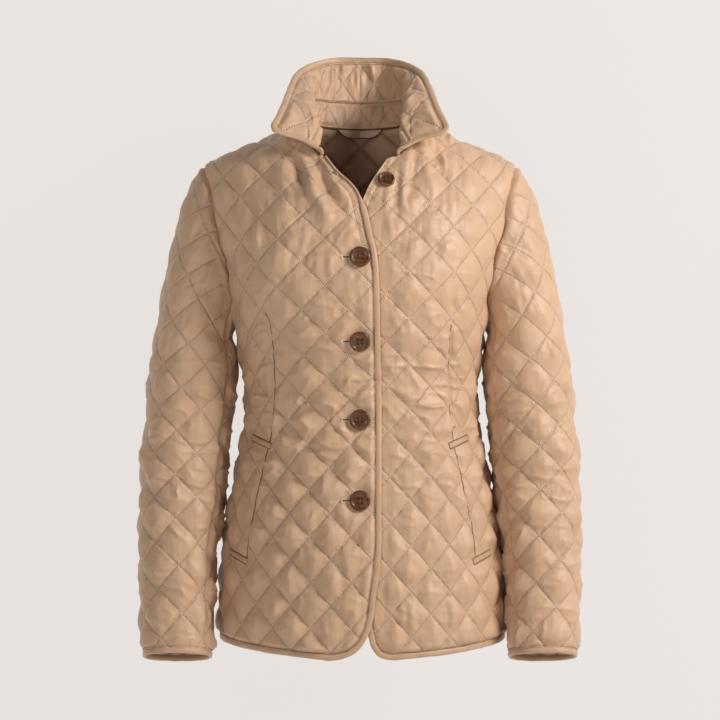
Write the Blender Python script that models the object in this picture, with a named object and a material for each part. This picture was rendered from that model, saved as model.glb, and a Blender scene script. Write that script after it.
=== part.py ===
"""Hollow quilted jacket, filled out as if worn, with its collar turned up.

Units below are millimetres unless a name says otherwise; MM turns them into metres.
Frame: +Z up, the jacket's front faces -Y, the wearer's left is +X, and the origin is at the
middle of the back neck seam's height, where the wearer's neck and shoulders carry the jacket.

Every panel is a pattern piece. A pattern point is (s, w): s is the cloth's width from the centre
line (or from the outer line of a sleeve) and w is its height. A ClothForm turns pattern points into
points in space and their outward normals. A panel's outer wall carries the quilted diamonds, and
its inner wall is plain.
"""
import math

import bmesh
import bpy
import numpy as np
from mathutils import Vector
from mathutils.bvhtree import BVHTree
from mathutils.geometry import delaunay_2d_cdt

MM = 0.001

# Cloth
WALL = 2.0                 # thickness of the quilted cloth at its stitch lines
PUFF = 3.0                 # how far a diamond's middle stands above its stitch lines
CLOTH = 4.0                # from the inside of the cloth to the outline that is seen
SEAM_GAP = 0.3
DIAMOND_WIDTH = 51.0
DIAMOND_HEIGHT = 54.0
EDGE_STEP = 15.0           # spacing of the points along a panel's outline
BINDING_WIDTH = 6.5
FLAT_MARGIN = 9.0          # puffs die out over this distance from a panel's outline

# Torso: outer half width, depth in front of and behind the side seams, sideways shift
TORSO_COLUMNS = ("height", "half_width", "front", "back", "shift")
TORSO = (
    (-690, 177.0, 137, 131, 3.0),
    (-600, 175.5, 137, 131, 3.0),
    (-532, 171.5, 135, 130, 3.2),
    (-459, 160.5, 128, 122, 2.2),
    (-391, 147.0, 119, 109, 2.0),
    (-340, 141.3, 115, 101, 1.8),
    (-289, 146.5, 122, 104, 0.6),
    (-244, 155.5, 133, 109, 0.0),
    (-212, 160.5, 138, 112, 0.0),
    (-160, 173.0, 133, 114, 0.0),
    (-114, 187.0, 117, 113, 0.0),
    (-73, 197.0, 103, 103, 0.0),
    (-46, 208.0, 96, 96, 0.0),
    (40, 225.0, 92, 92, 0.0),
)
TORSO_ROUNDNESS = 2.3      # exponent of the torso's sections: 2 is an ellipse, more is squarer
SHOULDER_DROP = 115.0      # height over which the cloth rounds over the shoulder
SHOULDER_COLUMNS = ("across", "height")
SHOULDER_LINE = ((0, 30), (40, 18), (70, 5), (109, -11.5), (141.5, -25), (165, -33.8), (181, -41.2),
                 (189, -46), (215, -62))
NECK_HALF_WIDTH = 68.0
SHOULDER_END = 188.5
UNDERARM_HEIGHT = -244.0

# Outlines seen from the front: height and distance from the centre line
FRONT_ARMHOLE = ((-46, 188.5), (-73, 182.5), (-90, 178.5), (-114, 174.3), (-136, 168.8), (-160, 161.9),
                 (-184, 157.0), (-212, 153.5), (-230, 152.2))
BACK_ARMHOLE = ((-46, 188.5), (-75, 181.5), (-105, 175.0), (-140, 167.0), (-175, 160.5), (-205, 156.0),
                (-230, 152.0))
FRONT_NECK = ((66.5, -8), (60, -25), (52, -36), (43, -43))         # across, height
BACK_NECK = ((60, 3.5), (45, 1.5), (22, 0.4), (0, 0))
TOP_FRONT_EDGE = ((-40, -43), (-25.5, -62), (-10.4, -77), (-1.4, -90), (2.4, -99), (8.8, -115),
                  (12.4, -133), (19.0, -160), (21.2, -178), (22.6, -217), (24.9, -335), (24.8, -452),
                  (24.0, -522), (21.2, -545), (18.0, -570), (15.2, -592), (9.2, -612), (0.7, -626),
                  (-10.5, -635.5), (-24, -640.5))                  # x of the right front's edge, height
UNDER_FRONT_TOP = ((43, -44.5), (32.4, -46.5))                     # from the neckline to the corner
UNDER_FRONT_EDGE = ((32.4, -46.5), (22.4, -61), (12.3, -77), (2.4, -99), (-8, -125), (-16, -160),
                    (-20, -200), (-21.5, -260), (-21.5, -440), (-17, -500), (-7, -555), (4, -592),
                    (10, -612), (14, -627), (21, -636), (30.6, -640), (42.4, -641))
HEM_FRONT = -641.0
HEM_SIDE = -627.0
HEM_BACK = -637.0

# Right front lies over the left one
OVERLAP_LIFT = 5.2
OVERLAP_REACH = 52.0       # the lifted cloth is back on the form this far from the centre line
UNDER_PUFF = 0.35          # share of the puff that is left where the under front is pressed
BUTTON_HEIGHTS = (-167.0, -263.0, -358.5, -454.0)
BUTTON_RADIUS = 12.4
BUTTON_SEAT = 17.0         # the cloth is pressed flat within this distance of a button
BUTTON_GAP = 0.35          # from the highest cloth beneath to a button's underside
BUTTON_SIDES = 18
BUTTON_PROFILE = ((-1.8, 0.0), (0.0, 1.4), (-0.5, 3.3), (-2.0, 4.1), (-4.0, 3.3), (-4.6, 2.7))
HOLE_RADIUS = 1.1
HOLE_SPREAD = 2.3
NECK_BUTTON = (31.0, -73.0)
NECK_BUTTON_RADIUS = 10.4

# Pockets: the outer and inner end of each tab's middle line, as distance across and height
POCKET_TABS = (((126.0, -382.0), (105.5, -390.5)), ((154.5, -519.5), (134.0, -528.3)))
TAB_WIDTH = 7.5
TAB_THICKNESS = 1.6
TAB_SEAT = 15.0            # the puffs are pressed flat beneath and beside a tab

ARM_SEAT = 24.0            # the puffs are pressed flat this near the lowest point of an armhole

# Sleeves: outer half width and half depth of a section, and where its centre is
SLEEVE_COLUMNS = ("height", "across", "depth", "half_width", "half_depth")
SLEEVE = (
    (-262, 203.9, 0.0, 48.4, 62.0),
    (-289, 203.6, -1.0, 52.4, 63.0),
    (-307, 204.9, -2.5, 53.1, 62.5),
    (-340, 207.9, -5.0, 53.1, 61.0),
    (-362, 210.5, -7.5, 53.0, 59.0),
    (-409, 214.6, -13.5, 51.9, 56.0),
    (-457, 216.6, -21.5, 50.9, 53.0),
    (-532, 221.3, -38.0, 45.6, 47.5),
    (-580, 221.1, -50.0, 43.9, 44.5),
    (-645, 220.1, -66.0, 42.9, 41.0),
)
SLEEVE_ROUNDNESS = 2.2
CUFF_HEIGHT = -645.0
CUFF_SLANT = 13.5          # degrees that the cuff's plane leans, front up
FRONT_SEAM_TURN = 147.0    # degrees round the sleeve from its outer line, forwards
BACK_SEAM_TURN = -118.0

# Collar: rows from the centre back (0) to the front end (1); a control point and the free edge
COLLAR_COLUMNS = ("along", "belly_x", "belly_y", "belly_z", "edge_x", "edge_y", "edge_z")
COLLAR = (
    (0.00, 0, 64, 48, 0, 67, 91),
    (0.20, 29, 58, 48, 33, 62, 90),
    (0.38, 47, 40, 49, 57.5, 42, 84.5),
    (0.55, 47, 10, 50, 79, 14, 67),
    (0.70, 40, -20, 40, 90, -16, 42),
    (0.85, 33, -58, 14, 100, -48, 15),
    (1.00, 66, -92, -22, 108, -70, -7),
)
COLLAR_DEPTH = 85.0
STAND_SHARE = 0.34
COLLAR_HALF_LENGTH = 205.0
COLLAR_WALL = 1.6
COLLAR_PUFF = 2.0
COLLAR_TIP = 10.0          # radius of the collar's corners

# Hanger loop: distance across and the height of its low edge
LOOP = ((-27, -4.0), (-23, -8.0), (-18, -10.5), (0, -11.2), (18, -10.5), (23, -8.0), (27, -4.0))
LOOP_TOP = -0.3            # from the seam down to the loop's top edge
LOOP_THICKNESS = 1.2
LOOP_CLEAR = 0.35

# Largest folds: s and w of both ends of a soft ridge (or trough), its width and its height
FOLDS_RIGHT = ((42, -98, 24, -150, 26, 3.0), (66, -92, 52, -150, 30, -2.2), (92, -96, 86, -150, 30, 2.2),
               (60, -345, 150, -335, 34, 1.8), (70, -372, 160, -368, 34, -1.6))
FOLDS_LEFT = ((60, -96, 44, -150, 28, 2.6), (86, -92, 74, -150, 28, -2.0), (112, -96, 104, -146, 30, 2.2),
              (60, -340, 150, -333, 34, 1.8), (64, -368, 160, -372, 34, -1.6))
FOLDS_SLEEVE = ((-60, -330, 60, -318, 32, 2.2), (-40, -372, 80, -380, 36, -1.8),
                (-70, -415, 50, -404, 34, 2.0), (-30, -560, 70, -552, 36, 1.5))

QUILT_RIGHT = (13.5, -442.0)   # a crossing of stitch lines on each panel, as (s, w)
QUILT_LEFT = (57.0, -453.0)
QUILT_BACK = (0.0, -450.0)
QUILT_SLEEVE = (0.0, -450.0)
QUILT_COLLAR = (0.0, 34.0)

CLOTH_COLOR = (0.52, 0.34, 0.20)
BINDING_COLOR = (0.46, 0.29, 0.17)
BUTTON_COLOR = (0.09, 0.035, 0.018)


def table(rows, columns, name):
    """One named column of a table."""
    return np.array([row[columns.index(name)] for row in rows], float)


def through(knots, values, at):
    """Smooth curve through the values: cubic pieces whose slopes come from the neighbours."""
    knots, values, at = (np.asarray(part, float) for part in (knots, values, at))
    if knots[0] > knots[-1]:
        knots, values = knots[::-1], values[::-1]
    slope = np.gradient(values, knots)
    i = np.clip(np.searchsorted(knots, at, side="right") - 1, 0, len(knots) - 2)
    span = knots[i + 1] - knots[i]
    t = np.clip((at - knots[i]) / span, 0, 1)
    return ((2 * t**3 - 3 * t**2 + 1) * values[i] + (t**3 - 2 * t**2 + t) * span * slope[i]
            + (3 * t**2 - 2 * t**3) * values[i + 1] + (t**3 - t**2) * span * slope[i + 1])


def smoothstep(low, high, at):
    t = np.clip((np.asarray(at, float) - low) / (high - low), 0, 1)
    return t * t * (3 - 2 * t)


def unit(vectors):
    return vectors / np.maximum(np.linalg.norm(vectors, axis=-1, keepdims=True), 1e-9)


def torso_size(name, height):
    return through(table(TORSO, TORSO_COLUMNS, "height"), table(TORSO, TORSO_COLUMNS, name), height)


def shoulder_height(across):
    """Height of the shoulder line at a distance from the centre, inside the cloth."""
    return through(*zip(*SHOULDER_LINE), np.abs(across)) - CLOTH


def half_depth(face, across, height):
    """Depth of the torso's section at a distance from its centre line, inside the cloth."""
    half = torso_size("half_width", height) - CLOTH
    share = np.clip(np.abs(across) / half, 0, 1) ** TORSO_ROUNDNESS
    return (torso_size(face, height) - CLOTH) * (1 - share) ** (1 / TORSO_ROUNDNESS)


def shoulder_depth(face, across):
    """Depth that the cloth rounds over the shoulder with, at a distance from the centre."""
    return np.maximum(half_depth(face, across, shoulder_height(across) - 30.0), 20.0)


def over_shoulder(face, across, turn):
    """Cloth height used up between the chest (turn 90 degrees) and a turn over the shoulder."""
    deep = shoulder_depth(face, across)
    return ((SHOULDER_DROP + deep) / 2 * (math.pi / 2 - turn)
            + (SHOULDER_DROP - deep) / 4 * np.sin(2 * turn))


def shoulder_turn(face, across, w):
    """Turn over the shoulder at a cloth height, by halving the interval that holds it."""
    used = w - shoulder_height(across) + SHOULDER_DROP
    low = np.full(np.shape(used), -0.45)
    high = np.full(np.shape(used), math.pi / 2)
    for _ in range(30):
        middle = (low + high) / 2
        beyond = over_shoulder(face, across, middle) > used
        low, high = np.where(beyond, middle, low), np.where(beyond, high, middle)
    return np.where(used <= 0, math.pi / 2, (low + high) / 2)


def cloth_height(face, across, height):
    """Pattern height w of a point given by its distance from the centre and its real height."""
    drop = shoulder_height(across) - height
    turn = np.arccos(np.clip(1 - drop / SHOULDER_DROP, -1, 1))
    return np.where(drop >= SHOULDER_DROP, height,
                    height + drop - SHOULDER_DROP + over_shoulder(face, across, turn))


class ClothForm:
    """Points of a curved form on an even grid of pattern points, with its outward normals."""

    def __init__(self, s_axis, w_axis, points, outward):
        self.s_axis, self.w_axis, self.points = s_axis, w_axis, points
        along_w, along_s = np.gradient(points, w_axis, s_axis, axis=(0, 1))
        self.normals = unit(np.cross(along_s, along_w)) * outward

    def read(self, grid, s, w):
        """Value of the grid between its points, on each pattern point."""
        i = np.interp(w, self.w_axis, np.arange(len(self.w_axis)))
        j = np.interp(s, self.s_axis, np.arange(len(self.s_axis)))
        i0 = np.clip(i.astype(int), 0, len(self.w_axis) - 2)
        j0 = np.clip(j.astype(int), 0, len(self.s_axis) - 2)
        u, v = (i - i0)[..., None], (j - j0)[..., None]
        return ((grid[i0, j0] * (1 - v) + grid[i0, j0 + 1] * v) * (1 - u)
                + (grid[i0 + 1, j0] * (1 - v) + grid[i0 + 1, j0 + 1] * v) * u)

    def point(self, s, w):
        return self.read(self.points, np.asarray(s, float), np.asarray(w, float))

    def normal(self, s, w):
        return unit(self.read(self.normals, np.asarray(s, float), np.asarray(w, float)))

    def width_at(self, across, w):
        """Pattern width s of points given by their distance from the centre line."""
        w = np.asarray(w, float)
        s_grid = np.broadcast_to(self.s_axis, w.shape + self.s_axis.shape)
        x_grid = self.point(s_grid, np.broadcast_to(w[..., None], s_grid.shape))[..., 0]
        high = self.s_axis[np.argmax(x_grid, axis=-1)]
        low = -high
        for _ in range(40):
            middle = (low + high) / 2
            short = self.point(middle, w)[..., 0] < across
            low, high = np.where(short, middle, low), np.where(short, high, middle)
        return (low + high) / 2


def torso_form(face):
    """The front or the back from side seam to side seam, and a little beyond both."""
    sign = -1.0 if face == "front" else 1.0
    w_axis = np.arange(-690.0, 96.0, 6.0)
    s_axis = np.arange(-328.0, 330.0, 4.0)
    turn = np.radians(np.linspace(-104, 104, 209))
    points = np.empty((len(w_axis), len(s_axis), 3))
    spread = np.sign(np.sin(turn)) * np.abs(np.sin(turn)) ** (2 / TORSO_ROUNDNESS)
    reach = np.sign(np.cos(turn)) * np.abs(np.cos(turn)) ** (2 / TORSO_ROUNDNESS)
    for row, w in enumerate(w_axis):
        height = np.full(len(turn), w)
        for _ in range(8):
            across = (torso_size("half_width", height) - CLOTH) * spread
            over = shoulder_turn(face, across, w)
            rounded = shoulder_height(across) - SHOULDER_DROP * (1 - np.cos(over))
            height = np.where(over >= math.pi / 2, w, rounded)
        depth = (torso_size(face, height) - CLOTH) * reach * np.sin(over)
        line = np.stack([across, sign * depth, height], axis=1)
        length = np.concatenate([[0], np.cumsum(np.linalg.norm(np.diff(line, axis=0), axis=1))])
        length -= np.interp(0.0, turn, length)
        for axis in range(3):
            points[row, :, axis] = np.interp(s_axis, length, line[:, axis])
    return ClothForm(s_axis, w_axis, points, -sign)


def shoulder_seam(form, face, across):
    """Pattern points along the shoulder seam."""
    w = shoulder_height(across) - SHOULDER_DROP + over_shoulder(face, across, 0.0)
    return np.stack([form.width_at(across, w), w], axis=1)


def by_view(form, face, across, height):
    """Pattern points of places seen from the front or the back."""
    across, height = np.asarray(across, float), np.asarray(height, float)
    w = cloth_height(face, across, height)
    return np.stack([form.width_at(across, w), w], axis=1)


def side_seam(form, heights):
    """Pattern points down the side seam, where the front's form meets the back's."""
    low, high = np.full(len(heights), 120.0), np.full(len(heights), 325.0)
    front = form.point(np.full(len(heights), 30.0), heights)[:, 1] < 0
    for _ in range(40):
        middle = (low + high) / 2
        y = form.point(middle, heights)[:, 1]
        before = np.where(front, y < 0, y > 0)
        low, high = np.where(before, middle, low), np.where(before, high, middle)
    return np.stack([(low + high) / 2, heights], axis=1)


def resample(line, step):
    """Points about a step apart along a line, its ends kept."""
    line = np.asarray(line, float)
    length = np.concatenate([[0], np.cumsum(np.linalg.norm(np.diff(line, axis=0), axis=1))])
    count = max(2, int(round(length[-1] / step)) + 1)
    at = np.linspace(0, length[-1], count)
    return np.stack([np.interp(at, length, line[:, k]) for k in range(line.shape[1])], axis=1)


def smooth_line(line, step):
    """A smooth line through a few points, sampled about a step apart."""
    line = np.asarray(line, float)
    length = np.concatenate([[0], np.cumsum(np.linalg.norm(np.diff(line, axis=0), axis=1))])
    fine = np.linspace(0, length[-1], 400)
    return resample(np.stack([through(length, line[:, k], fine) for k in range(line.shape[1])], axis=1),
                    step)


def line_normals(line):
    """Unit normals to the left of a flat line."""
    along = unit(np.gradient(line, axis=0))
    return np.stack([-along[:, 1], along[:, 0]], axis=1)


def moved_in(line, distance):
    """A flat line moved to its left, which is a panel's inside when its outline runs round left."""
    return line + line_normals(line) * distance


def outline_of(segments):
    """Join lines that run round a panel to the left; corners come from the lines' crossing."""
    joined = []
    for index, line in enumerate(segments):
        after = segments[(index + 1) % len(segments)]
        corner = crossing(line[-2], line[-1], after[0], after[1])
        if np.linalg.norm(corner - line[-1]) > 12.0:
            corner = (line[-1] + after[0]) / 2
        joined.append(np.vstack([line[1:-1], corner]))
    return joined


def crossing(a, b, c, d):
    """Where the straight lines a-b and c-d cross; the middle of b and c if they hardly do."""
    r, q = b - a, d - c
    across = r[0] * q[1] - r[1] * q[0]
    if abs(across) < 0.05 * np.linalg.norm(r) * np.linalg.norm(q):
        return (b + c) / 2
    t = ((c[0] - a[0]) * q[1] - (c[1] - a[1]) * q[0]) / across
    return a + t * r


def distance_to(outline, points):
    """Distance of each point to a closed outline, and whether it is inside."""
    start, end = outline, np.roll(outline, -1, axis=0)
    edge = end - start
    gap = points[:, None, :] - start[None]
    t = np.clip((gap * edge).sum(-1) / np.maximum((edge**2).sum(-1), 1e-9), 0, 1)
    away = np.linalg.norm(gap - t[..., None] * edge, axis=-1).min(axis=1)
    y, x = points[:, None, 1], points[:, None, 0]
    spans = (start[None, :, 1] > y) != (end[None, :, 1] > y)
    rise = np.where(edge[:, 1] == 0, 1e-9, edge[:, 1])
    at = start[None, :, 0] + (y - start[None, :, 1]) / rise * edge[None, :, 0]
    inside = (spans & (x < at)).sum(axis=1) % 2 == 1
    return away, inside


def quilt_phase(s, w, crossing_at, narrowing):
    """Whole numbers of both phases are the two families of stitch lines."""
    across = (s - crossing_at[0]) * narrowing(w) / DIAMOND_WIDTH
    up = (w - crossing_at[1]) / DIAMOND_HEIGHT
    return across + up, across - up


def quilt_height(s, w, crossing_at, narrowing):
    """Height of the puffed diamonds: 0 on the stitch lines, 1 in each diamond's middle."""
    first, second = quilt_phase(s, w, crossing_at, narrowing)
    return np.sqrt(np.abs(np.sin(math.pi * first) * np.sin(math.pi * second)))


def front_narrowing(w):
    """The diamonds are wider over the bust and narrower below the waist."""
    return through((-690, -480, -340, -230, -60, 100), (1.07, 1.06, 1.0, 0.93, 0.94, 1.0), w)


def even_narrowing(w):
    return np.ones(np.shape(w))


def lattice(outline, crossing_at, narrowing, quarter, dense=None):
    """Stitch crossings and diamond points that lie well inside an outline, and the stitch edges."""
    low, high = outline.min(axis=0), outline.max(axis=0)
    half_w, half_h = DIAMOND_WIDTH / 2, DIAMOND_HEIGHT / 2
    fine = 2 if quarter else 1
    rows = np.arange(math.floor((low[1] - crossing_at[1]) / half_h) - 1,
                     math.ceil((high[1] - crossing_at[1]) / half_h) + 2)
    reach = max(abs(low[0] - crossing_at[0]), abs(high[0] - crossing_at[0]))
    columns = np.arange(-math.ceil(reach * 1.15 / half_w) - 1, math.ceil(reach * 1.15 / half_w) + 2)
    p, q = (grid.ravel() for grid in np.meshgrid(np.arange(columns[0] * fine, columns[-1] * fine + 1),
                                                 np.arange(rows[0] * fine, rows[-1] * fine + 1)))
    w = crossing_at[1] + q * half_h / fine
    if quarter:
        chosen = (p % 2 == 0) | (q % 2 == 0)
    else:
        near = crossing_at[0] + p * half_w / narrowing(w) < dense
        chosen = ((p + q) % 2 == 0) | near
    p, q, w = p[chosen], q[chosen], w[chosen]
    s = crossing_at[0] + p * half_w / fine / narrowing(w)
    points = np.stack([s, w], axis=1)
    away, inside = distance_to(outline, points)
    keep = inside & (away > (5.5 if quarter else 11.0))
    p, q, points = p[keep], q[keep], points[keep]
    number = {(int(a), int(b)): i for i, (a, b) in enumerate(zip(p, q))}
    edges = []
    if quarter:
        for (a, b), i in number.items():
            if a % 2 == 0 and b % 2 == 0 and (a // 2 + b // 2) % 2 == 0:
                edges += [(i, number[other]) for other in ((a + 2, b + 2), (a + 2, b - 2))
                          if other in number]
    return points, edges


def triangulate(outline, inner_points, edges):
    """Triangles over a flat outline, through all the points given."""
    count = len(outline)
    flat = np.vstack([outline, inner_points])
    loop = [(i, (i + 1) % count) for i in range(count)]
    links = loop + [(a + count, b + count) for a, b in edges]
    verts, _, faces, origin, _, _ = delaunay_2d_cdt([Vector(p) for p in flat.tolist()], links, [], 1, 1e-4)
    if len(verts) != len(flat):
        raise ValueError("the pattern's lines cross")
    order = [found[0] for found in origin]
    return flat, [tuple(order[i] for i in face) for face in faces]


def wall_mesh(outer, inner, outer_faces, inner_faces, rim):
    """One closed wall from an outer and an inner skin that share a rim of the first points."""
    faces = list(outer_faces)
    shift = len(outer)
    faces += [tuple(shift + i for i in reversed(face)) for face in inner_faces]
    for i in range(rim):
        j = (i + 1) % rim
        if np.linalg.norm(outer[i] - inner[j]) < np.linalg.norm(outer[j] - inner[i]):
            faces += [(i, shift + j, j), (i, shift + i, shift + j)]
        else:
            faces += [(i, shift + i, j), (j, shift + i, shift + j)]
    return np.vstack([outer, inner]), faces


def signed_volume(points, faces):
    corner = points[np.array(faces)]
    return np.einsum("ij,ij->i", corner[:, 0], np.cross(corner[:, 1], corner[:, 2])).sum() / 6


def material(name, color, roughness):
    made = bpy.data.materials.get(name)
    if made is None:
        made = bpy.data.materials.new(name)
        made.use_nodes = True
        shader = made.node_tree.nodes["Principled BSDF"]
        shader.inputs["Base Color"].default_value = (*color, 1.0)
        shader.inputs["Roughness"].default_value = roughness
        shader.inputs["Metallic"].default_value = 0.0
    return made


def add_solid(collection, name, points, faces, finish):
    """An object from points in millimetres, its faces turned to point out."""
    if signed_volume(points, faces) < 0:
        faces = [tuple(reversed(face)) for face in faces]
    mesh = bpy.data.meshes.new(name)
    mesh.from_pydata((points * MM).tolist(), [], faces)
    mesh.update()
    mesh.shade_smooth()
    mesh.set_sharp_from_angle(angle=math.radians(50))
    solid = bpy.data.objects.new(name, mesh)
    mesh.materials.append(finish)
    collection.objects.link(solid)
    return solid


class Panel:
    """A pattern piece: its outline, how it quilts, and how far it is lifted off its form."""

    def __init__(self, name, form, segments, crossing_at, narrowing=even_narrowing,
                 lift=None, pressed=None, side=1.0, shift=None, wall=WALL, puff=PUFF, dense=-999.0):
        self.name, self.form = name, form
        self.crossing_at, self.narrowing = crossing_at, narrowing
        self.lift = lift or (lambda s, w: np.zeros(np.shape(s)))
        self.pressed = pressed or (lambda s, w: np.ones(np.shape(s)))
        self.side, self.shift, self.wall, self.puff = side, shift, wall, puff
        self.dense = dense
        self.parts = outline_of(segments)
        self.outline = np.vstack(self.parts)
        self.fixed = {}

    def place(self, s, w, off):
        """Point of the cloth a distance outside its form, on its own side of the jacket."""
        s, w = np.asarray(s, float), np.asarray(w, float)
        normal = self.form.normal(s, w)
        at = self.form.point(s, w) + normal * np.asarray(off, float)[..., None]
        return self.turned(at, w), self.turned_way(normal)

    def turned(self, at, w):
        at = at * np.array([self.side, 1.0, 1.0])
        if self.shift is not None:
            at[..., 0] += self.shift(w)
        return at

    def turned_way(self, way):
        return way * np.array([self.side, 1.0, 1.0])

    def outer_height(self, s, w):
        """Height of the outer skin over the form: lift, wall and puffed diamond."""
        flat = np.stack([np.ravel(s), np.ravel(w)], axis=1)
        away, _ = distance_to(self.outline, flat)
        tame = smoothstep(0, FLAT_MARGIN, away).reshape(np.shape(s)) * self.pressed(s, w)
        return self.lift(s, w) + self.wall + self.puff * tame * quilt_height(s, w, self.crossing_at,
                                                                             self.narrowing)

    def build(self, collection, finish):
        rim = len(self.outline)
        fine, edges = lattice(self.outline, self.crossing_at, self.narrowing, True)
        flat, outer_faces = triangulate(self.outline, fine, edges)
        outer, _ = self.place(flat[:, 0], flat[:, 1], self.outer_height(flat[:, 0], flat[:, 1]))
        coarse, _ = lattice(self.outline, self.crossing_at, self.narrowing, False, self.dense)
        plain, inner_faces = triangulate(self.outline, coarse, [])
        inner, _ = self.place(plain[:, 0], plain[:, 1], self.lift(plain[:, 0], plain[:, 1]))
        for index, (inside, outside) in self.fixed.items():
            inner[index], outer[index] = inside, outside
        points, faces = wall_mesh(outer, inner, outer_faces, inner_faces, rim)
        self.tree = BVHTree.FromPolygons(points.tolist(), faces)
        return add_solid(collection, self.name, points, faces, finish)


def sweep(collection, name, rings, finish, closed):
    """A solid through rings of points; its ends are closed unless the last ring joins the first."""
    rings = np.asarray(rings)
    count, size = rings.shape[:2]
    faces = []
    for i in range(count if closed else count - 1):
        a, b = i * size, ((i + 1) % count) * size
        for k in range(size):
            m = (k + 1) % size
            faces += [(a + k, b + m, b + k), (a + k, a + m, b + m)]
    if not closed:
        last = (count - 1) * size
        faces += [(0, k + 1, k) for k in range(1, size - 1)]
        faces += [(last, last + k, last + k + 1) for k in range(1, size - 1)]
    return add_solid(collection, name, rings.reshape(-1, 3), faces, finish)


def section_rings(base, outward, normal, profile):
    """Copies of a profile given as (outward, normal) offsets, one at each base point."""
    profile = np.asarray(profile, float)
    return (base[:, None] + profile[None, :, 0, None] * outward[:, None]
            + profile[None, :, 1, None] * normal[:, None])


def edge_frame(base, normal, inner_hint, closed=False):
    """Unit vectors that lie in the cloth and point away from it, square to its edge."""
    if closed:
        along = np.roll(base, -1, axis=0) - np.roll(base, 1, axis=0)
    else:
        along = np.gradient(base, axis=0)
    outward = unit(np.cross(along, normal))
    turn = np.sign((outward * (base - inner_hint)).sum(-1, keepdims=True))
    return outward * turn


def binding_profile(wall, gap=SEAM_GAP, width=BINDING_WIDTH):
    """Rounded tape that wraps an edge: it stands a little proud of both sides of the cloth."""
    return ((gap, -0.5), (width - 2.0, -0.9), (width, 0.1), (width, wall - 0.1),
            (width - 2.0, wall + 1.3), (gap, wall + 0.9))


# ---------------------------------------------------------------- body

def shift_at(w):
    return torso_size("shift", w)


def hem_height(form, s, face):
    """The hem dips at the centre front and the centre back and is highest at the side seams."""
    side = side_seam(form, np.array([HEM_SIDE]))[0, 0]
    low = HEM_FRONT if face == "front" else HEM_BACK
    return low + (HEM_SIDE - low) * (1 - np.cos(math.pi * np.clip(np.abs(s) / side, 0, 1))) / 2


def armhole_line(form, face, rows):
    """Pattern points from the shoulder to the underarm, and the same line in space."""
    heights, across = np.array(rows, float).T
    line = by_view(form, face, across, heights)
    line[0] = shoulder_seam(form, face, np.array([SHOULDER_END]))[0]
    bottom = side_seam(form, np.array([UNDERARM_HEIGHT]))
    return smooth_line(np.vstack([line, bottom]), EDGE_STEP * 0.8)


def sleeve_way(share):
    """Direction in which the sleeve leaves the armhole; share runs 0 to 2 round it from the top."""
    turn = share * math.pi
    low = (1 - np.cos(turn)) / 2
    return unit(np.stack([0.80 - 0.30 * low, -0.40 * np.sin(turn), -0.60 - 0.30 * low], axis=-1))


class Armhole:
    """The seam from the shoulder down the front, under the arm and up the back.

    The seam is a mitre: its face lies half way between the body's cloth and the sleeve's.
    """

    def __init__(self, front, back, front_line, back_line):
        self.bottom = len(front_line) - 1
        self.at = np.vstack([front.point(*front_line.T), back.point(*back_line[::-1].T)[1:-1]])
        body = np.vstack([front.normal(*front_line.T), back.normal(*back_line[::-1].T)[1:-1]])
        self.along = unit(np.roll(self.at, -1, axis=0) - np.roll(self.at, 1, axis=0))
        step = np.linalg.norm(np.roll(self.at, -1, axis=0) - self.at, axis=1)
        run = np.concatenate([[0], np.cumsum(step)])
        half = run[self.bottom]
        self.share = np.where(run[:-1] <= half, run[:-1] / half, 1 + (run[:-1] - half) / (run[-1] - half))
        way = sleeve_way(self.share)
        both = body + unit(np.cross(self.along, way))
        steep = np.maximum(np.linalg.norm(both, axis=1, keepdims=True) / 2, 0.45)
        self.outer = self.at + unit(both) * WALL / steep
        across = unit(np.cross(self.outer - self.at, self.along))
        self.across = across * np.sign((across * way).sum(-1, keepdims=True))

    def rim(self, numbers, gap):
        """Inner and outer seam points by number, moved across the seam: a sleeve's gap is positive."""
        move = self.across[numbers] * gap
        return self.at[numbers] + move, self.outer[numbers] + move

    def at_share(self, share, grid):
        """Values at places round the seam, on its straight pieces."""
        knots = np.append(self.share, 2.0)
        values = np.vstack([grid, grid[:1]])
        share = np.mod(share, 2.0)
        return np.stack([np.interp(share, knots, values[:, k]) for k in range(3)], axis=-1)


def side_heights():
    return np.linspace(HEM_SIDE, UNDERARM_HEIGHT, int(round((UNDERARM_HEIGHT - HEM_SIDE) / 20.0)) + 1)


def body_lines(form, face):
    """Hem from the centre to the side, side seam, shoulder seam and neckline of a half panel."""
    side = side_seam(form, side_heights())
    s = np.linspace(0.0, side[0, 0], 60)
    hem = np.stack([s, hem_height(form, s, face)], axis=1)
    neck_rows = np.array(FRONT_NECK if face == "front" else BACK_NECK, float)
    neck_point = shoulder_seam(form, face, np.array([NECK_HALF_WIDTH]))
    neck = smooth_line(np.vstack([neck_point, by_view(form, face, *neck_rows.T)]), EDGE_STEP * 0.6)
    shoulder = shoulder_seam(form, face, np.linspace(SHOULDER_END, NECK_HALF_WIDTH, 10))
    return hem, side, shoulder, neck


def pin_armhole(panel, armhole, first, numbers, end_moves, mirrored=False):
    """Put a run of a panel's outline points on the armhole seam, half a gap towards the body."""
    inner, outer = armhole.rim(numbers, -SEAM_GAP / 2)
    for place, sign in end_moves:
        move = armhole.along[numbers[place]] * sign * SEAM_GAP / 2
        inner[place] += move
        outer[place] += move
    for k in range(len(numbers)):
        pair = []
        for skin in (inner, outer):
            at = skin[k] * np.array([-1.0 if mirrored else 1.0, 1.0, 1.0])
            pair.append(panel.turned(at, at[2]))
        panel.fixed[first + k] = pair


def overlap_lift(s, w):
    """The right front rises over the left one near the centre, below the open neck."""
    near = 1 - smoothstep(30, OVERLAP_REACH, s)
    low = 1 - smoothstep(-94, -58, w)
    return OVERLAP_LIFT * near * low


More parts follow.
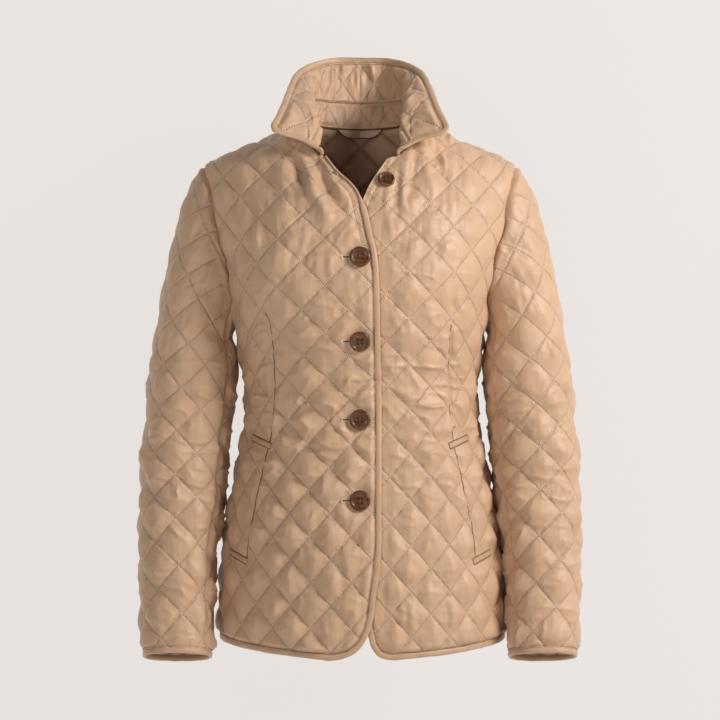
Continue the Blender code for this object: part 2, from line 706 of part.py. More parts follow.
def folds(rows, s, w):
    """Soft ridges and troughs of the cloth: each row is a line, the fold's width and its height."""
    height = np.zeros(np.shape(s))
    for s_from, w_from, s_to, w_to, width, rise in rows:
        run = np.array([s_to - s_from, w_to - w_from])
        t = np.clip(((s - s_from) * run[0] + (w - w_from) * run[1]) / (run**2).sum(), 0, 1)
        away = np.hypot(s - s_from - t * run[0], w - w_from - t * run[1])
        height = height + rise * np.exp(-(away / (width / 2)) ** 2) * (0.35 + 0.65 * np.sin(math.pi * t))
    return height


def pressed_near(places, reach):
    """Factor that flattens the puffs round some places."""
    def pressed(s, w):
        s, w = np.asarray(s, float), np.asarray(w, float)
        away = np.sqrt((s[..., None] - places[:, 0])**2 + (w[..., None] - places[:, 1])**2).min(axis=-1)
        return smoothstep(reach - 6, reach + 10, away)
    return pressed


def front_line(front, name, rows):
    """Pattern points of places given by x and height on one front."""
    rows = np.array(rows, float)
    side = -1.0 if name == "front_right" else 1.0
    return by_view(front, "front", side * (rows[:, 0] - shift_at(rows[:, 1])), rows[:, 1])


def tab_lines(front, name):
    """Pattern lines along the middle of a front's two pocket tabs, from outside to inside."""
    side = -1.0 if name == "front_right" else 1.0
    return [front_line(front, name, [(side * x, z) for x, z in rows]) for rows in POCKET_TABS]


def make_front(collection, cloth, name, front, armhole, arm):
    side = -1.0 if name == "front_right" else 1.0
    hem, side_line, shoulder, neck = body_lines(front, "front")
    edge = smooth_line(front_line(front, name, TOP_FRONT_EDGE if side < 0 else UNDER_FRONT_EDGE), EDGE_STEP)
    hem = resample(np.vstack([edge[-1:], hem[hem[:, 0] > edge[-1, 0] + 8]]), EDGE_STEP)
    if side < 0:
        edges = [moved_in(edge, BINDING_WIDTH)]
        buttons = front_line(front, name, [(0.0, height) for height in BUTTON_HEIGHTS])
        rows, quilt = FOLDS_RIGHT, QUILT_RIGHT
    else:
        split = int(np.argmin(np.abs(edge[:, 1] + 99)))
        top = resample(front_line(front, name, UNDER_FRONT_TOP), EDGE_STEP)
        edges = [top, edge[:split + 1], moved_in(edge, BINDING_WIDTH)[split:]]
        buttons = front_line(front, name, [NECK_BUTTON])
        rows, quilt = FOLDS_LEFT, QUILT_LEFT
    seat = pressed_near(buttons, BUTTON_SEAT)
    tabs = [resample(line, 6.0) for line in tab_lines(front, name)]
    beneath_tabs = pressed_near(np.vstack(tabs), TAB_SEAT)

    def lift(s, w):
        raised = folds(rows, s, w)
        return raised + overlap_lift(s, w) if side < 0 else raised

    def pressed(s, w):
        under = (1 - smoothstep(24, 44, s)) * (1 - smoothstep(-100, -80, w)) if side > 0 else 0.0
        return seat(s, w) * beneath_tabs(s, w) * (1 - (1 - UNDER_PUFF) * under)
    beneath_arm = pressed_near(arm[-1:], ARM_SEAT)

    def flat_under_arm(s, w):
        return pressed(s, w) * beneath_arm(s, w)
    segments = [moved_in(hem, BINDING_WIDTH), moved_in(side_line, SEAM_GAP / 2), arm[::-1],
                moved_in(shoulder, SEAM_GAP / 2), neck] + edges
    panel = Panel(name, front, segments, quilt, front_narrowing, lift, flat_under_arm, side, shift_at,
                  dense=OVERLAP_REACH + 20 if side < 0 else -999.0)
    first = len(panel.parts[0]) + len(panel.parts[1]) - 1
    pin_armhole(panel, armhole, first, np.arange(armhole.bottom, -1, -1), ((0, -1.0), (-1, 1.0)))
    panel.build(collection, cloth)
    return panel


def make_back(collection, cloth, back, armhole, arm):
    hem, side_line, shoulder, neck = body_lines(back, "back")
    hem = resample(hem, EDGE_STEP)
    mirror = np.array([-1.0, 1.0])
    segments = [moved_in(np.vstack([(hem * mirror)[::-1], hem[1:]]), BINDING_WIDTH),
                moved_in(side_line, SEAM_GAP / 2), arm[::-1], moved_in(shoulder, SEAM_GAP / 2),
                np.vstack([neck, (neck * mirror)[::-1][1:]]),
                moved_in((shoulder * mirror)[::-1], SEAM_GAP / 2), arm * mirror,
                moved_in((side_line * mirror)[::-1], SEAM_GAP / 2)]
    beneath_arm = pressed_near(np.vstack([arm[-1], arm[-1] * mirror]), ARM_SEAT)
    panel = Panel("back", back, segments, QUILT_BACK, pressed=beneath_arm, shift=shift_at)
    numbers = np.concatenate([np.arange(armhole.bottom, len(armhole.at)), [0]])
    first = sum(len(part) for part in panel.parts[:2]) - 1
    pin_armhole(panel, armhole, first, numbers, ((0, 1.0), (-1, -1.0)))
    first = sum(len(part) for part in panel.parts[:6]) - 1
    pin_armhole(panel, armhole, first, numbers[::-1], ((-1, 1.0), (0, -1.0)), mirrored=True)
    panel.build(collection, cloth)
    return panel


def bind_edge(collection, name, panel, parts, finish):
    """A rounded tape round a panel's edge, made from its outline's points."""
    line = np.vstack([panel.parts[parts[0] - 1][-1:]] + [panel.parts[part] for part in parts])
    inward = line_normals(line)
    base, normal = panel.place(line[:, 0], line[:, 1], panel.lift(line[:, 0], line[:, 1]))
    hint, _ = panel.place(*(line + inward * 5.0).T, panel.lift(line[:, 0], line[:, 1]))
    outward = edge_frame(base, normal, hint)
    rings = section_rings(base, outward, normal, binding_profile(panel.wall))
    return sweep(collection, name, rings, finish, False)


# ---------------------------------------------------------------- sleeves

def sleeve_section(turn, w):
    """Point of the sleeve at a turn round it from its outer line, forwards, and a height w."""
    size = {name: through(table(SLEEVE, SLEEVE_COLUMNS, "height"), table(SLEEVE, SLEEVE_COLUMNS, name), w)
            for name in SLEEVE_COLUMNS[1:]}
    ahead = through(table(SLEEVE, SLEEVE_COLUMNS, "height"), table(SLEEVE, SLEEVE_COLUMNS, "depth"), w + 6.0)
    behind = through(table(SLEEVE, SLEEVE_COLUMNS, "height"), table(SLEEVE, SLEEVE_COLUMNS, "depth"), w - 6.0)
    lean = np.arctan2(ahead - behind, 12.0)
    power = 2 / SLEEVE_ROUNDNESS
    out = np.sign(np.cos(turn)) * np.abs(np.cos(turn)) ** power * (size["half_width"] - CLOTH)
    fore = np.sign(np.sin(turn)) * np.abs(np.sin(turn)) ** power * (size["half_depth"] - CLOTH)
    return np.stack(np.broadcast_arrays(size["across"] + out, size["depth"] - fore * np.cos(lean),
                                        w + fore * np.sin(lean)), axis=-1)


class SleeveForm(ClothForm):
    """Sections below the ring under the arm, and above it lines that run up to the armhole."""

    def __init__(self, armhole):
        self.ring = SLEEVE[0][0]
        self.turns = np.radians(np.linspace(-160, 290, 451))
        s_axis = np.arange(-160.0, 300.0, 3.0)
        w_axis = np.arange(-669.0, 20.0, 6.0)
        points = np.empty((len(w_axis), len(s_axis), 3))
        for row, w in enumerate(w_axis):
            if w <= self.ring:
                line = sleeve_section(self.turns, w)
                points[row] = self.spread(line, self.lengths(line), s_axis)
        ring = sleeve_section(self.turns, self.ring)
        self.ring_lengths = self.lengths(ring)
        column_turn = np.interp(s_axis, self.ring_lengths, self.turns)
        runs, fibres = self.cap_lines(armhole, column_turn)
        self.cap_turns = self.turns
        self.cap_runs = self.cap_lines(armhole, self.turns)[0][:, -2]
        for row, w in enumerate(w_axis):
            if w > self.ring:
                for column in range(len(s_axis)):
                    points[row, column] = [np.interp(w - self.ring, runs[column], fibres[column, :, k])
                                           for k in range(3)]
        super().__init__(s_axis, w_axis, points, -1.0)

    @staticmethod
    def lengths(line):
        middle = len(line) * 160 // 450
        length = np.concatenate([[0], np.cumsum(np.linalg.norm(np.diff(line, axis=0), axis=1))])
        return length - length[middle]

    @staticmethod
    def spread(line, length, at):
        return np.stack([np.interp(at, length, line[:, k]) for k in range(3)], axis=1)

    def cap_lines(self, armhole, turn):
        """Curves from the ring up to the armhole; the last point of each runs on past the seam."""
        share = np.mod(turn / math.pi, 2.0)
        start = sleeve_section(turn, self.ring)
        up = unit(start - sleeve_section(turn, self.ring - 6.0))
        end = armhole.at_share(share, armhole.at)
        into = -sleeve_way(share)
        span = np.linalg.norm(end - start, axis=1)[:, None]
        t = np.linspace(0, 1, 40)[None, :, None]
        start, end = start[:, None], end[:, None]
        rise, arrive = (up * span)[:, None], (into * span * 0.5)[:, None]
        curve = ((2 * t**3 - 3 * t**2 + 1) * start + (t**3 - 2 * t**2 + t) * rise
                 + (3 * t**2 - 2 * t**3) * end + (t**3 - t**2) * arrive)
        curve = np.concatenate([curve, curve[:, -1:] + into[:, None] * 300.0], axis=1)
        run = np.concatenate([np.zeros((len(turn), 1)),
                              np.cumsum(np.linalg.norm(np.diff(curve, axis=1), axis=2), axis=1)], axis=1)
        return run, curve

    def width_of_turn(self, degrees, w):
        """Pattern width of a line that runs down the sleeve at one turn round it."""
        turn = math.radians(degrees)
        out = []
        for height in np.minimum(w, self.ring):
            line = sleeve_section(self.turns, height)
            out.append(np.interp(turn, self.turns, self.lengths(line)))
        return np.array(out)


def make_sleeve(collection, finishes, side, form, armhole):
    """Top and under sleeve and the bound cuff of one side."""
    name = "right" if side < 0 else "left"
    low = CUFF_HEIGHT + BINDING_WIDTH
    for part, turn_from, turn_to in (("top", BACK_SEAM_TURN, FRONT_SEAM_TURN),
                                     ("under", FRONT_SEAM_TURN, 360 + BACK_SEAM_TURN)):
        share_from, share_to = turn_from / 180, turn_to / 180
        every = np.concatenate([armhole.share - 2, armhole.share])
        share = np.concatenate([[share_from], every[(every > share_from + 0.02) & (every < share_to - 0.02)],
                                [share_to]])
        turn = share * math.pi
        cap = np.stack([np.interp(turn, form.turns, form.ring_lengths),
                        form.ring + np.interp(turn, form.turns, form.cap_runs)], axis=1)
        sides = []
        for degrees, top in ((turn_from, cap[0, 1]), (turn_to, cap[-1, 1])):
            heights = np.linspace(low, top, int(round((top - low) / 20.0)) + 1)
            sides.append(np.stack([form.width_of_turn(degrees, heights), heights], axis=1))
        cuff = resample(np.array([[sides[0][0, 0], low], [sides[1][0, 0], low]]), 12.0)
        segments = [cuff, moved_in(sides[1], SEAM_GAP / 2), cap[::-1],
                    moved_in(sides[0][::-1], SEAM_GAP / 2)]
        low_cap = cap[np.argmin(np.abs(share - 1.0))][None]
        panel = Panel(f"sleeve_{name}_{part}", form, segments, QUILT_SLEEVE, side=side, dense=999.0,
                      pressed=pressed_near(low_cap, ARM_SEAT),
                      lift=lambda s, w: folds(FOLDS_SLEEVE, s, w))
        inner, outer = (armhole.at_share(share, grid) + armhole.at_share(share, armhole.across)
                        * SEAM_GAP / 2 for grid in (armhole.at, armhole.outer))
        along = armhole.at_share(share, armhole.along)
        for skin in (inner, outer):
            skin[0] += along[0] * SEAM_GAP / 2
            skin[-1] -= along[-1] * SEAM_GAP / 2
        first = len(panel.parts[0]) + len(panel.parts[1]) - 1
        for k, (a, b) in enumerate(zip(inner[::-1], outer[::-1])):
            panel.fixed[first + k] = (panel.turned(a.copy(), a[2]), panel.turned(b.copy(), b[2]))
        panel.build(collection, finishes["cloth"])
    turn = np.radians(np.linspace(0, 360, 31)[:-1])
    base = sleeve_section(turn, low)
    down = unit(base - sleeve_section(turn, low + 6.0))
    around = np.roll(base, -1, axis=0) - np.roll(base, 1, axis=0)
    normal = unit(np.cross(down, around))
    mirror = np.array([side, 1.0, 1.0])
    rings = section_rings(base * mirror, down * mirror, normal * mirror, binding_profile(WALL))
    sweep(collection, f"binding_cuff_{name}", rings, finishes["binding"], True)


# ---------------------------------------------------------------- collar, pocket tabs, buttons, loop

def neckline(front, back, along):
    """Points of the neck seam from the centre back (0) to its front end (1), and their normals."""
    back_rows = np.array(BACK_NECK, float)[::-1]
    seam = shoulder_seam(front, "front", np.array([NECK_HALF_WIDTH]))
    front_rows = by_view(front, "front", *np.array(FRONT_NECK, float).T)
    back_line = smooth_line(np.vstack([by_view(back, "back", *back_rows.T),
                                       shoulder_seam(back, "back", np.array([NECK_HALF_WIDTH]))]), 4.0)
    front_line_ = smooth_line(np.vstack([seam, front_rows]), 4.0)[1:]
    at = np.vstack([back.point(*back_line.T), front.point(*front_line_.T)])
    normal = np.vstack([back.normal(*back_line.T), front.normal(*front_line_.T)])
    length = np.concatenate([[0], np.cumsum(np.linalg.norm(np.diff(at, axis=0), axis=1))])
    length /= length[-1]
    read = [np.stack([np.interp(along, length, grid[:, k]) for k in range(3)], axis=-1)
            for grid in (at, normal)]
    return read[0], unit(read[1])


def collar_form(front, back):
    """Rolled surface: it leaves the neck seam, bellies out and ends at the free edge.

    Its normals point towards the neck, so the quilting stands on the side that is turned out.
    """
    s_axis = np.arange(-COLLAR_HALF_LENGTH, COLLAR_HALF_LENGTH + 1, 5.0)
    w_axis = np.linspace(0, COLLAR_DEPTH, 18)
    along = np.abs(s_axis) / COLLAR_HALF_LENGTH
    knots = table(COLLAR, COLLAR_COLUMNS, "along")
    belly, edge = (np.stack([through(knots, table(COLLAR, COLLAR_COLUMNS, f"{name}_{axis}"), along)
                             for axis in "xyz"], axis=1) for name in ("belly", "edge"))
    seam, normal = neckline(front, back, along)
    seam = seam + normal * (WALL + 0.5 + 2.5 * smoothstep(0.85, 1, along))[:, None]
    v = (w_axis / COLLAR_DEPTH)[:, None, None]
    points = (1 - v)**2 * seam + 2 * v * (1 - v) * belly + v**2 * edge
    points[..., 0] *= np.where(s_axis < 0, -1.0, 1.0)
    return ClothForm(s_axis, w_axis, points, 1.0)


def make_collar(collection, finishes, form):
    """Stand and fall with a seam between them, and the tape round the ends and the free edge."""
    end = COLLAR_HALF_LENGTH - BINDING_WIDTH
    top = COLLAR_DEPTH - BINDING_WIDTH
    seam = COLLAR_DEPTH * STAND_SHARE
    turn = np.radians(np.linspace(0, 90, 5))
    corner = np.stack([end - COLLAR_TIP * (1 - np.cos(turn)), top - COLLAR_TIP * (1 - np.sin(turn))], axis=1)
    mirror = np.array([-1.0, 1.0])
    stand_gap, fall_gap = seam - SEAM_GAP / 2, seam + SEAM_GAP / 2
    low = np.array([[end, 0.0], [end, stand_gap]])
    high = np.array([[end, fall_gap], [end, top - COLLAR_TIP]])
    free = np.vstack([resample(high, 7.0)[:-1], corner,
                      resample(np.vstack([corner[-1:], corner[-1:] * mirror]), EDGE_STEP)[1:-1],
                      (corner * mirror)[::-1], resample((high * mirror)[::-1], 7.0)[1:]])
    across = np.array([[-end, 0.0], [end, 0.0]])
    stand = Panel("collar_stand", form,
                  [resample(across, EDGE_STEP), resample(low, 7.0),
                   resample(across[::-1] + [0, stand_gap], EDGE_STEP),
                   resample((low * mirror)[::-1], 7.0)],
                  QUILT_COLLAR, wall=COLLAR_WALL, puff=COLLAR_PUFF, dense=999.0)
    fall = Panel("collar_fall", form, [resample(across + [0, fall_gap], EDGE_STEP), free],
                 QUILT_COLLAR, wall=COLLAR_WALL, puff=COLLAR_PUFF, dense=999.0)
    stand.build(collection, finishes["cloth"])
    fall.build(collection, finishes["cloth"])
    line = np.vstack([resample(low, 7.0)[:-1], free, resample((low * mirror)[::-1], 7.0)[1:]])
    base, normal = stand.place(line[:, 0], line[:, 1], np.zeros(len(line)))
    hint, _ = stand.place(*(line + line_normals(line) * 5.0).T, np.zeros(len(line)))
    rings = section_rings(base, edge_frame(base, normal, hint), normal, binding_profile(COLLAR_WALL, 2 * SEAM_GAP))
    sweep(collection, "binding_collar", rings, finishes["binding"], False)


def make_tabs(collection, finish, panel, front):
    """A short stitched tab at each end of a pocket's mouth, lying on the front."""
    for place, line in zip(("top", "low"), tab_lines(front, panel.name)):
        line = resample(line, 5.0)
        across = line_normals(line)
        inner, outer = [], []
        for k in range(len(line)):
            for share in (-1, 1):
                at = line[k] + across[k] * share * TAB_WIDTH / 2
                height = float(panel.lift(*at)) + panel.wall + SEAM_GAP
                inner.append(panel.place(*at, height)[0])
                outer.append(panel.place(*at, height + TAB_THICKNESS)[0])
        rings = [np.array([inner[2 * k], inner[2 * k + 1], outer[2 * k + 1], outer[2 * k]])
                 for k in range(len(line))]
        side = panel.name.replace("front", "pocket")
        sweep(collection, f"{side}_tab_{place}", rings, finish, False)


def flat_with_holes(ring, holes, low, count):
    """Triangles of a flat face inside a ring that leave out the holes; low and count number points."""
    flat = np.vstack([ring] + holes)
    links, start = [], 0
    for loop in [ring] + holes:
        links += [(start + i, start + (i + 1) % len(loop)) for i in range(len(loop))]
        start += len(loop)
    faces = delaunay_2d_cdt([Vector(p) for p in flat.tolist()], links, [], 1, 1e-5)[2]
    middles = [hole.mean(axis=0) for hole in holes]
    reach = np.linalg.norm(holes[0][0] - middles[0]) * 0.95
    kept = []
    for face in faces:
        centre = flat[list(face)].mean(axis=0)
        if min(np.linalg.norm(centre - middle) for middle in middles) > reach:
            kept.append(face)
    number = list(range(low, low + len(ring))) + list(range(count, count + len(flat) - len(ring)))
    return [tuple(number[i] for i in face) for face in kept]


def make_button(collection, finish, name, centre, normal, radius):
    """A turned button: a raised rim round a recess with four holes through it."""
    turn = np.radians(np.arange(BUTTON_SIDES) * 360 / BUTTON_SIDES)
    circle = np.stack([np.cos(turn), np.sin(turn)], axis=1)
    profile = [(radius + cut, height) for cut, height in BUTTON_PROFILE]
    rings = [np.column_stack([circle * r, np.full(BUTTON_SIDES, z)]) for r, z in profile]
    six = np.radians(np.arange(6) * 60)
    holes = [np.stack([x + HOLE_RADIUS * np.cos(six), y + HOLE_RADIUS * np.sin(six)], axis=1)
             for x, y in ((-HOLE_SPREAD, -HOLE_SPREAD), (HOLE_SPREAD, -HOLE_SPREAD),
                          (HOLE_SPREAD, HOLE_SPREAD), (-HOLE_SPREAD, HOLE_SPREAD))]
    levels = (profile[0][1], profile[-1][1])
    points = np.vstack(rings + [np.column_stack([hole, np.full(6, z)]) for z in levels for hole in holes])
    n, faces = BUTTON_SIDES, []
    for level in range(len(rings) - 1):
        for k in range(n):
            m = (k + 1) % n
            a, b = level * n, (level + 1) * n
            faces += [(a + k, a + m, b + m), (a + k, b + m, b + k)]
    first = len(rings) * n
    for hole in range(4):
        for k in range(6):
            a, b = first + hole * 6, first + 24 + hole * 6
            m = (k + 1) % 6
            faces += [(a + k, b + k, b + m), (a + k, b + m, a + m)]
    bottom = flat_with_holes(rings[0][:, :2], holes, 0, first)
    faces += [tuple(reversed(face)) for face in bottom]
    faces += flat_with_holes(rings[-1][:, :2], holes, (len(rings) - 1) * n, first + 24)
    side = unit(np.cross(np.array([0.0, 0.0, 1.0]), normal))
    frame = np.stack([side, np.cross(normal, side), normal])
    return add_solid(collection, name, centre + points @ frame, faces, finish)


def button_seat(panel, at, radius):
    """Centre and direction of a button whose underside clears the cloth's highest point beneath."""
    start, normal = panel.place(at[:1], at[1:], np.full(1, 30.0))
    start, normal = start[0], normal[0]
    side = unit(np.cross(np.array([0.0, 0.0, 1.0]), normal))
    up = np.cross(normal, side)
    drops = []
    for reach in np.linspace(0, radius, 6):
        for turn in np.radians(np.arange(0, 360, 15)):
            origin = start + (side * math.cos(turn) + up * math.sin(turn)) * reach
            hit = panel.tree.ray_cast(Vector(origin), Vector(-normal))
            drops.append(hit[3])
    return start - normal * (min(drops) - BUTTON_GAP), normal


def make_buttons(collection, finish, right, left, front):
    """Four buttons down the right front and a smaller one on the under front at the neck."""
    for number, height in enumerate(BUTTON_HEIGHTS, 1):
        at = front_line(front, "front_right", [(0.0, height)])[0]
        centre, normal = button_seat(right, at, BUTTON_RADIUS)
        make_button(collection, finish, f"button_{number}", centre, normal, BUTTON_RADIUS)
    centre, normal = button_seat(left, front_line(front, "front_left", [NECK_BUTTON])[0], NECK_BUTTON_RADIUS)
    make_button(collection, finish, "button_neck", centre, normal, NECK_BUTTON_RADIUS)


def make_loop(collection, finish, front, back):
    """Hanger loop: a flat band that hangs from the back neck seam, inside it."""
    seam, _ = neckline(front, back, np.linspace(0, 0.5, 60))
    rows = []
    for x, low in LOOP:
        y, z = (np.interp(abs(x), seam[:, 0], seam[:, axis]) for axis in (1, 2))
        y, top = y - LOOP_CLEAR, z + LOOP_TOP
        rows.append([(x, y, top), (x, y, low), (x, y - LOOP_THICKNESS, low), (x, y - LOOP_THICKNESS, top)])
    sweep(collection, "hanger_loop", np.array(rows), finish, False)


def main():
    for old in list(bpy.data.objects):
        bpy.data.objects.remove(old, do_unlink=True)
    jacket = bpy.data.collections.new("quilted_jacket")
    bpy.context.scene.collection.children.link(jacket)
    finishes = {"cloth": material("cloth", CLOTH_COLOR, 0.55),
                "binding": material("binding", BINDING_COLOR, 0.5),
                "button": material("button", BUTTON_COLOR, 0.25)}
    front, back = torso_form("front"), torso_form("back")
    front_arm = armhole_line(front, "front", FRONT_ARMHOLE)
    back_arm = armhole_line(back, "back", BACK_ARMHOLE)
    armhole = Armhole(front, back, front_arm, back_arm)
    right = make_front(jacket, finishes["cloth"], "front_right", front, armhole, front_arm)
    left = make_front(jacket, finishes["cloth"], "front_left", front, armhole, front_arm)
    rear = make_back(jacket, finishes["cloth"], back, armhole, back_arm)
    bind_edge(jacket, "binding_front_right", right, (5, 0), finishes["binding"])
    bind_edge(jacket, "binding_front_left", left, (7, 0), finishes["binding"])
    bind_edge(jacket, "binding_back", rear, (0,), finishes["binding"])
    sleeve = SleeveForm(armhole)
    for side in (-1.0, 1.0):
        make_sleeve(jacket, finishes, side, sleeve, armhole)
    make_collar(jacket, finishes, collar_form(front, back))
    for panel in (right, left):
        make_tabs(jacket, finishes["binding"], panel, front)
    make_buttons(jacket, finishes["button"], right, left, front)
    make_loop(jacket, finishes["binding"], front, back)


main()
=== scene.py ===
import math
import bpy
import numpy as np
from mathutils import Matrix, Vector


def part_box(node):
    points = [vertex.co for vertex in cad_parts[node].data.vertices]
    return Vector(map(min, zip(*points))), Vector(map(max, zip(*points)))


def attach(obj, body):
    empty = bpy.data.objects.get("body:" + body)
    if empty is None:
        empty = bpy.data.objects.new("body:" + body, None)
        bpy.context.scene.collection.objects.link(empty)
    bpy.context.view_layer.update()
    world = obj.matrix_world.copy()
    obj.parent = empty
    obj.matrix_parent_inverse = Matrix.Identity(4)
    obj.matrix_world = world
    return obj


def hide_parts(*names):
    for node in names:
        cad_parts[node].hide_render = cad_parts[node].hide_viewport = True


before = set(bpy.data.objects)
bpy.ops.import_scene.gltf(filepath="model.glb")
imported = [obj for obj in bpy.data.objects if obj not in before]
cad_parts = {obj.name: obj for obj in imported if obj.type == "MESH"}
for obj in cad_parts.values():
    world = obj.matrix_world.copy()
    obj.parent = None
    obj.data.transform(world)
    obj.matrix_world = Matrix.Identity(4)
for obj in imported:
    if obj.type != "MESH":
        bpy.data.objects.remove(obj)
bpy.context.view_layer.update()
mm = 0.001  # every table below is in millimetres
pi = math.pi

# A pattern point is (s, w): s is the cloth's width from the centre line, w its height.
# A form turns pattern points into points in space and their outward normals.
# A panel is a dictionary: its form, its side (-1 the wearer's right, 1 the left), its pattern's sides,
# its seams and bound edges, and the functions that raise, press or calm its cloth.
coarse = 12.0  # spacing of points on lines that distances are measured to


# small tools

def through(knots, values, at):
    # smooth curve through the values: cubic pieces whose slopes come from the neighbours
    knots, values, at = (np.asarray(part, float) for part in (knots, values, at))
    if knots[0] > knots[-1]:
        knots, values = knots[::-1], values[::-1]
    slope = np.gradient(values, knots)
    i = np.clip(np.searchsorted(knots, at, side="right") - 1, 0, len(knots) - 2)
    span = knots[i + 1] - knots[i]
    t = np.clip((at - knots[i]) / span, 0, 1)
    return ((2 * t**3 - 3 * t**2 + 1) * values[i] + (t**3 - 2 * t**2 + t) * span * slope[i]
            + (3 * t**2 - 2 * t**3) * values[i + 1] + (t**3 - t**2) * span * slope[i + 1])


def smoothStep(low, high, at):
    # 0 below low, 1 above high, and a smooth cubic step between them
    t = np.clip((np.asarray(at, float) - low) / (high - low), 0, 1)
    return t * t * (3 - 2 * t)


def unit(ways):
    # vectors divided by their lengths
    return ways / np.maximum(np.linalg.norm(ways, axis=-1, keepdims=True), 1e-9)


def runAlong(line):
    # length run from a line's first point to each of its points
    return np.concatenate([[0], np.cumsum(np.linalg.norm(np.diff(line, axis=0), axis=1))])


def runsAlong(rows):
    # the same for every row of a grid of points
    return np.cumsum(np.linalg.norm(np.diff(rows, axis=1, prepend=rows[:, :1]), axis=2), axis=1)


def flipped(points, side):
    # points turned over to the other side of the centre line where side is -1
    return points * np.append(side, np.ones(points.shape[-1] - 1))


def wayRound(ring):
    # way along a closed line at each of its points
    return np.roll(ring, -1, axis=0) - np.roll(ring, 1, axis=0)


def evenly(line, shares):
    # points of a line at the given shares of its length
    run = runAlong(line)
    return np.stack([np.interp(shares * run[-1], run, line[:, k]) for k in range(line.shape[1])], axis=-1)


def spacedLine(line, step):
    # a line's points again, about one step apart
    count = max(2, int(round(runAlong(line)[-1] / step)) + 1)
    return evenly(line, np.linspace(0, 1, count))


def smoothLine(rows, step):
    # smooth line through a few points
    rows = np.asarray(rows, float)
    run = runAlong(rows)
    fine = np.linspace(0, run[-1], 400)
    return spacedLine(np.stack([through(run, rows[:, k], fine) for k in range(rows.shape[1])], axis=1), step)


def leftOf(line):
    # unit normals to the left of a flat line
    along = unit(np.gradient(line, axis=0))
    return np.stack([-along[:, 1], along[:, 0]], axis=1)


def distanceTo(line, s, w):
    # distance of every point to a line, the run along it, and the side (1 left, -1 right)
    best = np.full(np.shape(s), 1e9)
    run, side = np.zeros(np.shape(s)), np.ones(np.shape(s))
    runs = runAlong(line)
    for k in range(len(line) - 1):
        (s0, w0), (ds, dw) = line[k], line[k + 1] - line[k]
        span = ds * ds + dw * dw
        t = np.clip(((s - s0) * ds + (w - w0) * dw) / span, 0, 1)
        away = np.hypot(s - s0 - t * ds, w - w0 - t * dw)
        near = away < best
        best = np.where(near, away, best)
        run = np.where(near, runs[k] + t * math.sqrt(span), run)
        side = np.where(near, np.where(ds * (w - w0) - dw * (s - s0) >= 0, 1.0, -1.0), side)
    return best, run, side


def bell(away, width):
    # 1 in the middle, falling off smoothly
    return np.exp(-(away / width) ** 2)


def scattered(i, j, seed):
    # a repeatable number from 0 to 1 for each pair of whole numbers
    value = np.sin(i * 127.1 + j * 311.7 + seed * 74.7) * 43758.5453
    return value - np.floor(value)


def noise(x, y, seed):
    # soft noise from -1 to 1: scattered corners of unit squares, blended smoothly
    i, j = np.floor(x), np.floor(y)
    u, v = smoothStep(0, 1, x - i), smoothStep(0, 1, y - j)
    low = scattered(i, j, seed) * (1 - u) + scattered(i + 1, j, seed) * u
    high = scattered(i, j + 1, seed) * (1 - u) + scattered(i + 1, j + 1, seed) * u
    return (low * (1 - v) + high * v) * 2 - 1


# forms

torso = dict(
    height=(-690, -600, -532, -459, -391, -340, -289, -244, -212, -160, -114, -73, -46, 40),
    halfWidth=(177, 175.5, 171.5, 160.5, 147, 141.3, 146.5, 155.5, 160.5, 173, 187, 197, 208, 225),
    front=(137, 137, 135, 128, 119, 115, 122, 133, 138, 133, 117, 103, 96, 92),
    back=(131, 131, 130, 122, 109, 101, 104, 109, 112, 114, 113, 103, 96, 92),
    shift=(3, 3, 3.2, 2.2, 2, 1.8, 0.6, 0, 0, 0, 0, 0, 0, 0),
    roundness=2.3, cloth=4.0, drop=115.0,
    shoulderAcross=(0, 40, 70, 109, 141.5, 165, 181, 189, 215),
    shoulderHeight=(30, 18, 5, -11.5, -25, -33.8, -41.2, -46, -62),
    neckHalf=68.0, shoulderEnd=188.5, underarm=-244.0,
)


def torsoSize(name, height):
    return through(torso["height"], torso[name], height)


def shoulderHeight(across):
    return through(torso["shoulderAcross"], torso["shoulderHeight"], np.abs(across)) - torso["cloth"]


def shoulderDepth(face, across):
    # depth that the cloth rounds over the shoulder with
    height = shoulderHeight(across) - 30
    half = torsoSize("halfWidth", height) - torso["cloth"]
    share = np.clip(np.abs(across) / half, 0, 1) ** torso["roundness"]
    deep = (torsoSize(face, height) - torso["cloth"]) * (1 - share) ** (1 / torso["roundness"])
    return np.maximum(deep, 20.0)


def overShoulder(face, across, turn):
    # cloth used up between the chest (a turn of 90 degrees) and a turn over the shoulder
    deep, drop = shoulderDepth(face, across), torso["drop"]
    return (drop + deep) / 2 * (pi / 2 - turn) + (drop - deep) / 4 * np.sin(2 * turn)


def shoulderTurn(face, across, w):
    # turn over the shoulder at a cloth height, by halving the interval that holds it
    used = w - shoulderHeight(across) + torso["drop"]
    low, high = np.full(np.shape(used), -0.45), np.full(np.shape(used), pi / 2)
    for _ in range(26):
        middle = (low + high) / 2
        beyond = overShoulder(face, across, middle) > used
        low, high = np.where(beyond, middle, low), np.where(beyond, high, middle)
    return np.where(used <= 0, pi / 2, (low + high) / 2)


def clothHeight(face, across, height):
    # pattern height of a point given by its distance from the centre and its real height
    drop = shoulderHeight(across) - height
    turn = np.arccos(np.clip(1 - drop / torso["drop"], -1, 1))
    return np.where(drop >= torso["drop"], height,
                    height + drop - torso["drop"] + overShoulder(face, across, turn))


def makeForm(sAxis, wAxis, points, outward):
    # its normals are the cross product of the grid's two ways
    alongW, alongS = np.gradient(points, wAxis, sAxis, axis=(0, 1))
    return dict(s=sAxis, w=wAxis, points=points, normals=unit(np.cross(alongS, alongW)) * outward)


